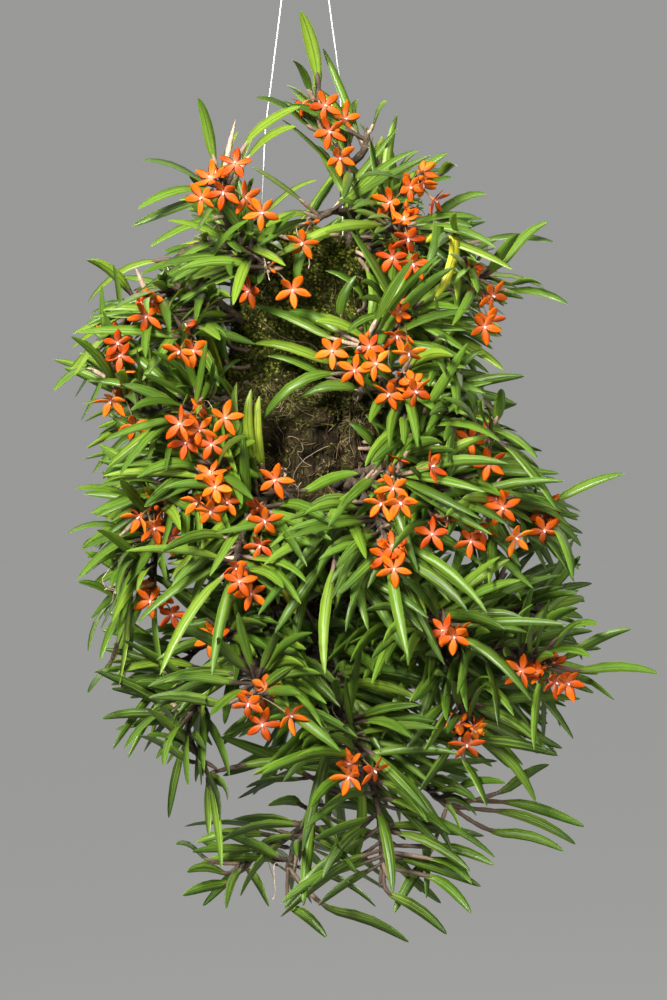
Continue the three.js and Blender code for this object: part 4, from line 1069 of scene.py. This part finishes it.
leaf_rng = random.Random(77)
for arm_name, spot, base, tip, bow in CROSSING_LEAVES:
    arm = arm_named[arm_name]
    base, tip = np.array(base, float), np.array(tip, float)
    root = slab_front(*spot) if spot else arm.nearest(base)
    if np.linalg.norm(base - root) > LONGEST_SHOOT:
        base = root + unit(base - root) * LONGEST_SHOOT
    broad = unit(np.cross(unit(tip - base), (0.1, -0.9, 0.4)))
    leaf = Leaf(root, base, tip, np.array(bow, float), broad, leaf_rng.uniform(0.95, 1.15),
                leaf_rng.uniform(0.3, 0.72))
    leaves[arm.spray].append(leaf)
    taken |= leaf.cells()

for spray_leaves in leaves.values():
    for leaf in spray_leaves:
        leaf.width = leaf_rng.uniform(0.95, 1.06) if leaf.tip[2] < -270 else 1.3
        leaf.shade = min(leaf_shade(leaf_rng, leaf.base), 0.72)
        heading = unit(leaf.tip - leaf.base)
        wanted = np.cross(heading, upper_side(leaf.base, leaf_rng))
        face = np.cross(leaf.broad, heading)
        turn = max(-MOST_TURN, min(MOST_TURN, math.atan2(wanted.dot(face), wanted.dot(leaf.broad))))
        leaf.broad = unit(leaf.broad * math.cos(turn) + face * math.sin(turn))


def lie(point, heading, rng):
    """A leaf's way: it lies along the plant's outside, more level than upright, and mostly away from the
    plant's middle."""
    normal = shell_normal(point)
    level = unit(np.cross((0, 0, 1), normal))
    rise = np.cross(normal, level)
    away = (point - PLANT_CENTRE) / PLANT_HALF
    tilt = math.radians(rng.gauss(34 * max(0, away[2]), 36))
    tilt = max(tilt, -0.6) if rng.random() < 0.82 else tilt
    outer = math.copysign(1, away.dot(level))
    if rng.random() < 0.5 - 0.28 * min(1, 1.7 * abs(away.dot(level))):
        outer = -outer
    along = level * math.cos(tilt) * outer + rise * math.sin(tilt)
    return unit(along + normal * (1, 1, 0.35) * rng.uniform(0.1, 0.9) + heading * 0.1)


def grow_leaf(root, heading, rng):
    """A leaf from this root, where a free place for it is found."""
    for _ in range(LEAF_ATTEMPTS):
        direction = lie(root, heading, rng)
        length = LEAF_LENGTH * rng.uniform(0.75, 1.32)
        base = root + direction * SHOOT_LENGTH * rng.uniform(0.35, 1.05)
        droop = length * rng.uniform(-0.08, 0.14)
        tip = base + direction * length - (0, 0, droop)
        bow = drawn(rng, (-5, 5), (-5, 5), (0, 7)) + (0, 0, abs(droop) * 0.3)
        broad = unit(np.cross(unit(tip - root), upper_side(root, rng)))
        leaf = Leaf(root, base, tip, bow, broad, rng.uniform(0.78, 1.04), leaf_shade(rng, base))
        if not allowed(leaf.blade(np.linspace(0, 1, 8))):
            continue
        if len(leaf.cells(0.12) & taken) > 1 or leaf.cells(0.3) & stem_cells:
            continue
        taken.update(leaf.cells())
        return leaf
    return None


for _ in range(SLAB_SHOOTS):
    root = slab_point(*drawn(leaf_rng, (0, 2 * math.pi), (SLAB_BOTTOM + 10, SLAB_TOP - 8)), -1)
    if root[1] < 0 and at_bare_front(*in_view(root[None, :])):
        continue
    outward = unit(root - (SLAB_CENTRE_X, 0, root[2]))
    leaf = grow_leaf(root, 2 * outward, leaf_rng)
    if leaf:
        arm = min(arms, key=lambda arm: np.linalg.norm(arm.nearest(root) - root))
        leaves[arm.spray].append(leaf)

for arm in arms:
    for spot in np.arange(14, arm.length - 4, LEAF_SPACING):
        for _ in range(LEAVES_AT_SPOT):
            root, heading = arm.at(spot + leaf_rng.uniform(-4, 4))
            bare = 0
            if root[2] > SPARSE_ABOVE:
                bare = SPARSE_SHARE_ABOVE
            elif root[2] < SPARSE_BELOW:
                bare = SPARSE_SHARE_BELOW
            elif np.linalg.norm((root - PLANT_CENTRE) / PLANT_HALF) > SIDES_FROM:
                bare = SPARSE_SHARE_SIDES
            if leaf_rng.random() < bare:
                continue
            leaf = grow_leaf(root, heading, leaf_rng)
            if leaf:
                leaves[arm.spray].append(leaf)

# leaves that close the gaps left in the dense part of the plant
stem_spots = np.concatenate([arm.line[4:-2] for arm in arms])
stem_owners = [arm.spray for arm in arms for _ in arm.line[4:-2]]
for _ in range(GAP_TRIES):
    x, z = drawn(leaf_rng, *GAP_SPAN)
    if not inside(MASS, x, z) or at_bare_front(x, z) or in_clearing(x, z):
        continue
    through = np.array([seen(x, y, z) for y in GAP_DEPTHS])
    if np.any(in_slab(through, 0)) or cells_at(through) & taken:
        continue
    gap = seen(x, leaf_rng.uniform(-70, 40), z)
    apart = np.linalg.norm(stem_spots - gap, axis=1)
    close = np.flatnonzero((apart > STEM_NEAREST) & (apart < STEM_FURTHEST))
    for _ in range(min(GAP_ATTEMPTS, len(close))):
        chosen = int(leaf_rng.choice(close))
        root = stem_spots[chosen]
        direction = unit(gap - root)
        base = root + direction * SHOOT_LENGTH * leaf_rng.uniform(0.3, 0.9)
        length = max(apart[chosen] - np.linalg.norm(base - root) + 14,
                     LEAF_LENGTH * leaf_rng.uniform(0.6, 1.2))
        tip = base + direction * length - (0, 0, length * leaf_rng.uniform(0, 0.1))
        broad = unit(np.cross(unit(tip - root), upper_side(root, leaf_rng)))
        leaf = Leaf(root, base, tip, np.array([0, 0, length * 0.04]), broad, leaf_rng.uniform(0.9, 1.1),
                    min(0.5, leaf_shade(leaf_rng, base)))
        if allowed(leaf.blade(np.linspace(0, 1, 8))) and len(leaf.cells(0.2) & taken) < 3:
            taken |= leaf.cells()
            leaves[stem_owners[chosen]].append(leaf)
            break

front_leaves = [leaf for group in leaves.values() for leaf in group if leaf.base[1] < 20]
seen_x, seen_z = in_view(np.concatenate([leaf.blade([0.5]) for leaf in front_leaves]))
for x, z, shade in YELLOW_LEAVES:
    front_leaves[np.argmin(np.hypot(seen_x - x, seen_z - z))].shade = shade

# bare shoots that are still wrapped in their papery sheaths, and thin loose roots: their points, thickness
# and shade
SHOOTS_AT_END = 3
SHOOT_ATTEMPTS = 12
BARE_SHOOT = np.array([0.7, 0.95, 1.0, 0.85, 0.5, 0.06])
BARE_SHOOT_TIPS = [
    ("shoulder_left_1", (-60, -64, -318)), ("left_shoulder_1", (-149, -58, -446)),
    ("left_mid_1", (-176, -48, -520)), ("low_left_3", (-130, -34, -802)), ("low_left_3", (-138, -22, -826)),
    ("top_right_1", (117, -68, -358)), ("right_arm_1", (175, -64, -444)), ("left_low_2", (-166, -60, -688)),
    ("centre_1", (92, -140, -606)),
]
ROOT_LOOPS = [(-168, -46, -722, 10), (-162, -42, -734, 13), (-172, -40, -738, 8), (-164, -36, -716, 7)]
bare_shoots = {spray: [] for spray in SPRAYS}
for arm_name, tip in BARE_SHOOT_TIPS:
    arm = arm_named[arm_name]
    root = arm.nearest(tip)
    points = smooth_line([root, (root + tip) / 2 + (0, -2, 2), tip], np.linspace(0, 1, 6))
    bare_shoots[arm.spray].append((points, 2.7 * BARE_SHOOT, leaf_rng.uniform(0.6, 0.85)))
for number, (x, y, z, reach) in enumerate(ROOT_LOOPS):
    root, _ = arm_named["left_low_3"].at(20 + 6 * number)
    steps = np.linspace(0, 1, 18)[:, None]
    near = np.minimum(1, 2.2 * steps)
    turns = 6.5 * steps + number
    ring = np.concatenate([np.cos(turns), 0.4 * np.sin(turns + 1), np.sin(turns)], axis=1)
    bare_shoots["left_low"].append((root + ((x, y, z) - root + reach * ring) * near, 0.42, 0.95))
for arm in arms:
    for _ in range(SHOOTS_AT_END):
        for _ in range(SHOOT_ATTEMPTS):
            root, heading = arm.at(arm.length - leaf_rng.uniform(0, 46))
            stray = drawn(leaf_rng, (-1, 1), (-1, 1), (-0.6, 1.2))
            way = unit(heading + 0.5 * shell_normal(root) + stray)
            length = leaf_rng.uniform(15, 30)
            bend = drawn(leaf_rng, (-3, 3), (-2, 2), (0, 4))
            steps = np.linspace(0, 1, 6)[:, None]
            points = root + way * length * steps + bend * steps ** 2
            spots = cells_at(points[2:])
            if spots & taken or not allowed(points[2:]):
                continue
            taken |= spots
            shade = leaf_rng.uniform(0.3, 1) * (0.45 if arm.spray in HANGING_SPRAYS else 1)
            bare_shoots[arm.spray].append((points, 2.4 * leaf_rng.uniform(0.8, 1.1) * BARE_SHOOT, shade))
            break
    root, _ = arm.at(arm.length * leaf_rng.uniform(0.3, 1))
    way = unit(drawn(leaf_rng, (-1, 1), (-1, 1), (-1, 0.2)))
    turn = np.cross(way, unit(np.array([*drawn(leaf_rng, (-1, 1), (-1, 1)), 0.3])))
    steps = np.linspace(0, 1, 12)[:, None]
    reach = leaf_rng.uniform(14, 30)
    points = root + way * reach * steps + turn * reach * 0.4 * np.sin(5 * steps) - (0, 0, 9) * steps ** 2
    bare_shoots[arm.spray].append((points, 0.4, leaf_rng.uniform(0.6, 1)))

strap = section("strap", [(-1, 0.15), (-0.55, -0.16), (0, -0.38), (0.55, -0.16), (1, 0.15), (0, -0.1)])
leaf_green = Finish("leaf_green", Specular_IOR_Level=0.28)
shade = leaf_green.mark("shade")
run = leaf_green.mark("run")
side = abs(leaf_green.mark("side"))
mottle = leaf_green.noise(130, 3)
green = leaf_green.ramp(shade + 0.16 * mottle - 0.08, (0.0, (0.009, 0.035, 0.003)),
                        (0.3, (0.03, 0.085, 0.005)), (0.55, (0.066, 0.145, 0.009)),
                        (0.8, (0.165, 0.255, 0.016)), (0.93, (0.38, 0.4, 0.016)), (1.0, (0.62, 0.46, 0.02)))
young = leaf_green.mix((1 - run) ** 2.5 * 0.6, green, (0.15, 0.23, 0.018))
veins = leaf_green.streaks(side * 9, run * 1.5, shade * 60)
veined = leaf_green.mix((veins - 0.5) * 3.2 + 0.14, young, (0.17, 0.26, 0.04))
# painted shade: the leaf's middle channel darkened, as shade falls in the groove
groove_shaded = leaf_green.mix((0.17 - side) * 4, veined, (0.014, 0.05, 0.006))
# painted highlight: a pale line along the leaf's edges
rim_highlighted = leaf_green.mix((side > 0.93) * 0.3, groove_shaded, (0.26, 0.4, 0.05))
tipped = leaf_green.mix((run > 0.975) * 0.6, rim_highlighted, (0.3, 0.24, 0.06))
leaf_green.finish(tipped, 0.24 + 0.22 * mottle, veins, 0.00015)

papery = Finish("papery_sheath")
grain = papery.noise(600, 4, (1, 1, 0.35))
paper = papery.ramp(papery.mark("shade"), (0.0, (0.022, 0.015, 0.01)), (0.35, (0.1, 0.064, 0.042)),
                    (0.7, (0.34, 0.24, 0.17)), (1.0, (0.6, 0.48, 0.36)))
papery.finish(papery.mix((grain - 0.35) * 1.8, paper, (0.07, 0.04, 0.026)), 0.7, grain, 0.0004)

blade_shares, blade_widths = np.array(BLADE_WIDTHS).T
sheath_round = round_section(6)
for spray, spray_leaves in leaves.items():
    hanging = spray in HANGING_SPRAYS
    blades, sheaths = Lines(), Lines()
    for leaf in spray_leaves:
        course = leaf.course()
        lengths = lengths_along(course)
        shoot = min(0.9 * np.linalg.norm(leaf.base - leaf.root), 0.4 * lengths[-1])
        points = along_line(course, lengths, shoot + (lengths[-1] - shoot) * blade_shares)
        ways = leaf.ways(points, leaf_rng.uniform(-0.4, 0.4))
        blades.add(points, blade_widths * leaf.width * LEAF_WIDTH / 2, leaf.shade, -ways)
        tone = leaf_rng.uniform(0, 1) ** 2 * (0.32 if hanging else 0.85)
        if shoot > 1.15 * SHOOT_LENGTH:
            tone = leaf_rng.uniform(0.55, 0.85) - (0.38 if hanging else 0)
        wrapped = along_line(course, lengths, (shoot + 7) * np.linspace(0, 1, len(SHEATH_RADII)))
        sheaths.add(wrapped, leaf.width * SHEATH_RADII, tone)
    for points, reach, tone in bare_shoots[spray]:
        sheaths.add(points, reach, tone)
    piece(f"leaves_{spray}", "leaf_green", f"spray_{spray}",
          blades.sweep("blades", strap, leaf_green.material))
    piece(f"shoots_{spray}", "slab_fibre", f"spray_{spray}",
          stems[spray].sweep("stems", stem_round, stem_bark.material),
          sheaths.sweep("sheaths", sheath_round, papery.material))


# The flowers open in clusters from tufts of papery bracts at the stems' ends. Each has five waxy orange
# tepals round a short white column, on a thin pale stalk.
# shares of the way along a tepal, with its width and with its lift off the flower's plane
TEPAL_WIDTHS = [(0.06, 0.34), (0.2, 0.62), (0.42, 0.98), (0.6, 1.0), (0.8, 0.72), (0.93, 0.36), (1, 0.06)]
TEPAL_HALF_WIDTH = 3.6
TEPAL_LIFTS = [(0, 0), (0.3, 1.2), (0.6, 1.4), (0.85, 2.2), (1, 2.0)]
EXTRA_FLOWERS = (1, 1, 2, 3)
LONE_BLOOMS = ("crown_2", "shoulder_left_2", "left_front_3")
FLOWER_APART = 9
FLOWER_ATTEMPTS = 30
MOST_NOD = 0.85
COLUMN_HEIGHTS = np.array([-0.6, 0.9, 2.2, 3.3, 3.8])
COLUMN_RADII = np.array([0.9, 0.85, 0.75, 0.7, 0.35])
BUDS = 2
BUD_RADII = np.array([0.9, 1.7, 2.2, 2.3, 1.9, 1.1, 0.2])
BRACTS = 9
BRACT_TURN = 2.4
BRACT_WIDTHS = np.array([2.2, 2.6, 2.3, 1.4, 0.1])

tepal_orange = Finish("tepal_orange", Specular_IOR_Level=0.06)
warm = tepal_orange.mark("shade")
out = tepal_orange.mark("run")
edge = abs(tepal_orange.mark("side"))
flush = tepal_orange.noise(170, 3)
petal = tepal_orange.ramp(warm + 0.3 * flush - 0.15, (0.0, (0.32, 0.03, 0.001)),
                          (0.45, (0.47, 0.076, 0.001)), (0.8, (0.58, 0.112, 0.003)),
                          (1.0, (0.7, 0.19, 0.012)))
petal = tepal_orange.mix((1 - out) ** 6 * 0.7, petal, (0.85, 0.36, 0.25))
lines = tepal_orange.streaks(edge * 7, out * 1.5, warm * 50)
petal = tepal_orange.mix((lines - 0.5) * 1.6, petal, (0.8, 0.24, 0.03))
petal = tepal_orange.mix((edge < 0.08) * 0.3, petal, (0.42, 0.04, 0.002))
tepal_orange.finish(petal, 0.5, lines, 0.0003)

column_white = marked_finish("column_white", "run", 0.45, (0.0, (0.9, 0.35, 0.25)),
                             (0.5, (0.92, 0.78, 0.76)), (1.0, (0.95, 0.9, 0.9)))

stalk_pale = Finish("stalk_pale")
stalk_run = stalk_pale.mark("run") + 0.2 * stalk_pale.noise(300) - 0.1
pale = stalk_pale.ramp(stalk_run, (0.0, (0.06, 0.05, 0.02)), (0.6, (0.16, 0.1, 0.03)),
                       (1.0, (0.55, 0.11, 0.01)))
stalk_pale.finish(pale, 0.5)


def turned(vectors, axis, angle):
    """The vectors turned about a unit axis."""
    vectors = np.asarray(vectors, float)
    along = (vectors @ axis)[..., None] * axis
    return along + (vectors - along) * math.cos(angle) + np.cross(axis, vectors) * math.sin(angle)


def splayed(flower, heart, angle):
    """The flower nodding away from the heart of its cluster by an angle."""
    axis = np.cross(flower["facing"], flower["centre"] - heart)
    if np.linalg.norm(axis) < 1:
        return flower
    axis = unit(axis)
    return {"centre": flower["centre"], "facing": turned(flower["facing"], axis, angle),
            "tips": flower["centre"] + turned(flower["tips"] - flower["centre"], axis, angle)}


def outward_way(arm, pull, rng):
    """A way out of the arm's end, any way at all but for the pull of the arm's own."""
    return unit(unit(np.array([rng.gauss(0, 1) for _ in range(3)])) + pull * arm.heading)


def another_flower(arm, cluster, rng):
    """A flower more for the cluster, where there is room between the others."""
    for _ in range(FLOWER_ATTEMPTS):
        way = outward_way(arm, 0.7, rng)
        centre = arm.heart + way * rng.uniform(8, 15)
        if min(np.linalg.norm(centre - other["centre"]) for other in cluster) < FLOWER_APART:
            continue
        facing = unit(way + drawn(rng, *[(-0.9, 0.9)] * 3))
        across = carried(np.array([centre, centre + facing]))[0]
        over = np.cross(facing, across)
        turns = rng.uniform(0, 6) + np.arange(5) * 2 * math.pi / 5
        reach = rng.uniform(12, 16)
        spokes = np.cos(turns)[:, None] * across + np.sin(turns)[:, None] * over
        tips = centre + facing * reach * 0.15 + reach * spokes
        return {"centre": centre, "facing": facing, "tips": tips}
    return None


tepal_shares, tepal_widths = np.array(TEPAL_WIDTHS).T
tepal_lifts = np.interp(tepal_shares, *zip(*TEPAL_LIFTS))


def draw_flower(flower, heart, heading, rng, tepals, columns, stalks):
    centre, facing = flower["centre"], flower["facing"]
    shade = rng.uniform(0.05, 0.85)
    closing = rng.uniform(-0.12, 0.38)
    for tip in flower["tips"]:
        flat = tip - centre
        flat = flat - facing * flat.dot(facing)
        lift = tepal_lifts + (closing * 17 + rng.uniform(-1.8, 1.8)) * tepal_shares ** 2
        out = tepal_shares * (1 - 0.25 * max(closing, 0) * tepal_shares) * rng.uniform(0.86, 1.03)
        points = centre + flat * out[:, None] + facing * lift[:, None]
        broad = turned(unit(np.cross(flat, facing)), unit(flat), rng.uniform(-0.45, 0.45))
        tepals.add(points, tepal_widths * TEPAL_HALF_WIDTH * rng.uniform(0.92, 1.18),
                   shade + rng.uniform(-0.2, 0.2), np.tile(broad, (len(points), 1)))
    columns.add(centre + facing * COLUMN_HEIGHTS[:, None], COLUMN_RADII, 0.5)
    behind = centre - facing * 5
    stalk = smooth_line([heart - heading * 2, (heart + behind) / 2 - facing * 3 + (0, 0, 2), behind,
                         centre - facing * 0.4], np.linspace(0, 1, 10))
    stalks.add(stalk, np.interp(np.linspace(0, 1, 10), [0, 0.5, 0.8, 1], [0.55, 0.55, 1.3, 1.7]), shade)


def draw_bud(arm, rng, buds, stalks):
    way = outward_way(arm, 0.9, rng)
    foot = arm.heart + way * rng.uniform(5, 9)
    length = rng.uniform(7, 11)
    points = foot + way * length * np.linspace(0, 1, len(BUD_RADII))[:, None]
    buds.add(points, BUD_RADII * length / 10, rng.uniform(0.2, 0.7))
    stalks.add(np.array([arm.heart - arm.heading, arm.heart + way * 3, foot + way * 0.5]), 0.75, 0.4)


tepal = section("tepal", [(-1, 0.08), (-0.5, -0.09), (0, -0.14), (0.5, -0.09), (1, 0.08), (0, 0.02)])
bract = section("bract", [(-1, 0.2), (0, -0.35), (1, 0.2), (0, -0.1)])
stalk_round = round_section(6)
flower_rng = random.Random(31)
for arm in arms:
    if not arm.flowering:
        continue
    tepals, columns, stalks, bracts, buds = (Lines() for _ in range(5))
    cluster = list(flowers[arm.name])
    for _ in range(0 if arm.name in LONE_BLOOMS else flower_rng.choice(EXTRA_FLOWERS)):
        more = another_flower(arm, cluster, flower_rng)
        if more:
            cluster.append(more)
    for number, flower in enumerate(cluster):
        if number < len(flowers[arm.name]):
            flower = splayed(flower, arm.heart, flower_rng.uniform(0.1, MOST_NOD))
        draw_flower(flower, arm.heart, arm.heading, flower_rng, tepals, columns, stalks)
    for _ in range(BUDS):
        draw_bud(arm, flower_rng, buds, stalks)
    across = carried(np.array([arm.end, arm.end + arm.heading]))[0]
    for number in range(BRACTS):
        turn = number * BRACT_TURN
        aside = across * math.cos(turn) + np.cross(arm.heading, across) * math.sin(turn)
        height = flower_rng.uniform(7, 15)
        lean = flower_rng.uniform(2.5, 6)
        start = arm.end - arm.heading * flower_rng.uniform(0, 7)
        points = [start + aside * 1.8, start + aside * 3.4 + arm.heading * height * 0.45,
                  start + aside * lean + arm.heading * height]
        points = smooth_line(points, np.linspace(0, 1, len(BRACT_WIDTHS)))
        broad = np.tile(unit(np.cross(aside, arm.heading)), (len(BRACT_WIDTHS), 1))
        bracts.add(points, BRACT_WIDTHS, flower_rng.uniform(0.2, 1.0), broad)
    piece(f"blooms_{arm.name}", "bloom_orange", f"bloom_{arm.name}",
          tepals.sweep("tepals", tepal, tepal_orange.material),
          buds.sweep("buds", stalk_round, tepal_orange.material),
          columns.sweep("columns", stalk_round, column_white),
          stalks.sweep("stalks", stalk_round, stalk_pale.material),
          bracts.sweep("bracts", bract, papery.material))


# The floor is plain and pale, lit by large soft lamps, and the camera stands level with the plant where
# the photograph was taken from.
FLOOR_Z = -2.2
FLOOR_REACH = 70
LAMP_SPREAD = 80
LAMP_COLOUR = (1.0, 0.96, 0.88)
PLANT_MIDDLE = (0.026, 0, -0.62)
SENSOR_HEIGHT = 24.0
VIEW_HEIGHT = 0.9
for spare in (wire_round, fibre_round, stem_round, strap, sheath_round, tepal, bract, stalk_round, tuft):
    bpy.data.objects.remove(spare)

floor_mesh = bpy.data.meshes.new("floor")
corners = [(x * FLOOR_REACH, y * FLOOR_REACH, FLOOR_Z) for x, y in ((-1, -1), (1, -1), (1, 1), (-1, 1))]
floor_mesh.from_pydata(corners, [], [(0, 1, 2, 3)])
floor = placed("floor", floor_mesh)
floor_finish = Finish("floor_pale", Specular_IOR_Level=0)
floor_mesh.materials.append(floor_finish.finish((0.56, 0.56, 0.55), 0.95))

world = bpy.data.worlds.new("studio")
bpy.context.scene.world = world
world.use_nodes = True
backdrop = world.node_tree.nodes["Background"]
backdrop.inputs["Color"].default_value = (0.8, 0.8, 0.79, 1)
backdrop.inputs["Strength"].default_value = 0.4


def lamp(name, place, size, power):
    data = bpy.data.lights.new(name, "AREA")
    data.size = size
    data.spread = math.radians(LAMP_SPREAD)
    data.energy = power
    data.color = LAMP_COLOUR
    made = placed(name, data)
    made.location = place
    way = np.array(PLANT_MIDDLE) - np.array(place)
    made.rotation_euler = (math.atan2(math.hypot(way[0], way[1]), -way[2]), 0, math.atan2(-way[0], way[1]))


lamp("key", (-1.0, -2.1, 0.6), 0.7, 42)
lamp("fill", (1.6, -1.9, -0.2), 1.2, 8)
lamp("back", (0.1, 2.3, 0.7), 4.0, 22)
skylight = bpy.data.lights.new("skylight", "SUN")
skylight.energy = 0.9
skylight.angle = math.radians(50)
placed("skylight", skylight).rotation_euler = (math.radians(24), math.radians(-10), 0)

camera_data = bpy.data.cameras.new("camera")
camera_data.sensor_fit = "VERTICAL"
camera_data.sensor_height = SENSOR_HEIGHT
camera_data.lens = SENSOR_HEIGHT * (VIEW_DISTANCE * MM) / VIEW_HEIGHT
camera = placed("camera", camera_data)
camera.location = (VIEW_CENTRE_X * MM, -VIEW_DISTANCE * MM, VIEW_CENTRE_Z * MM)
camera.rotation_euler = (math.pi / 2, 0, 0)
bpy.context.scene.camera = camera
bpy.context.scene.view_settings.view_transform = "Standard"
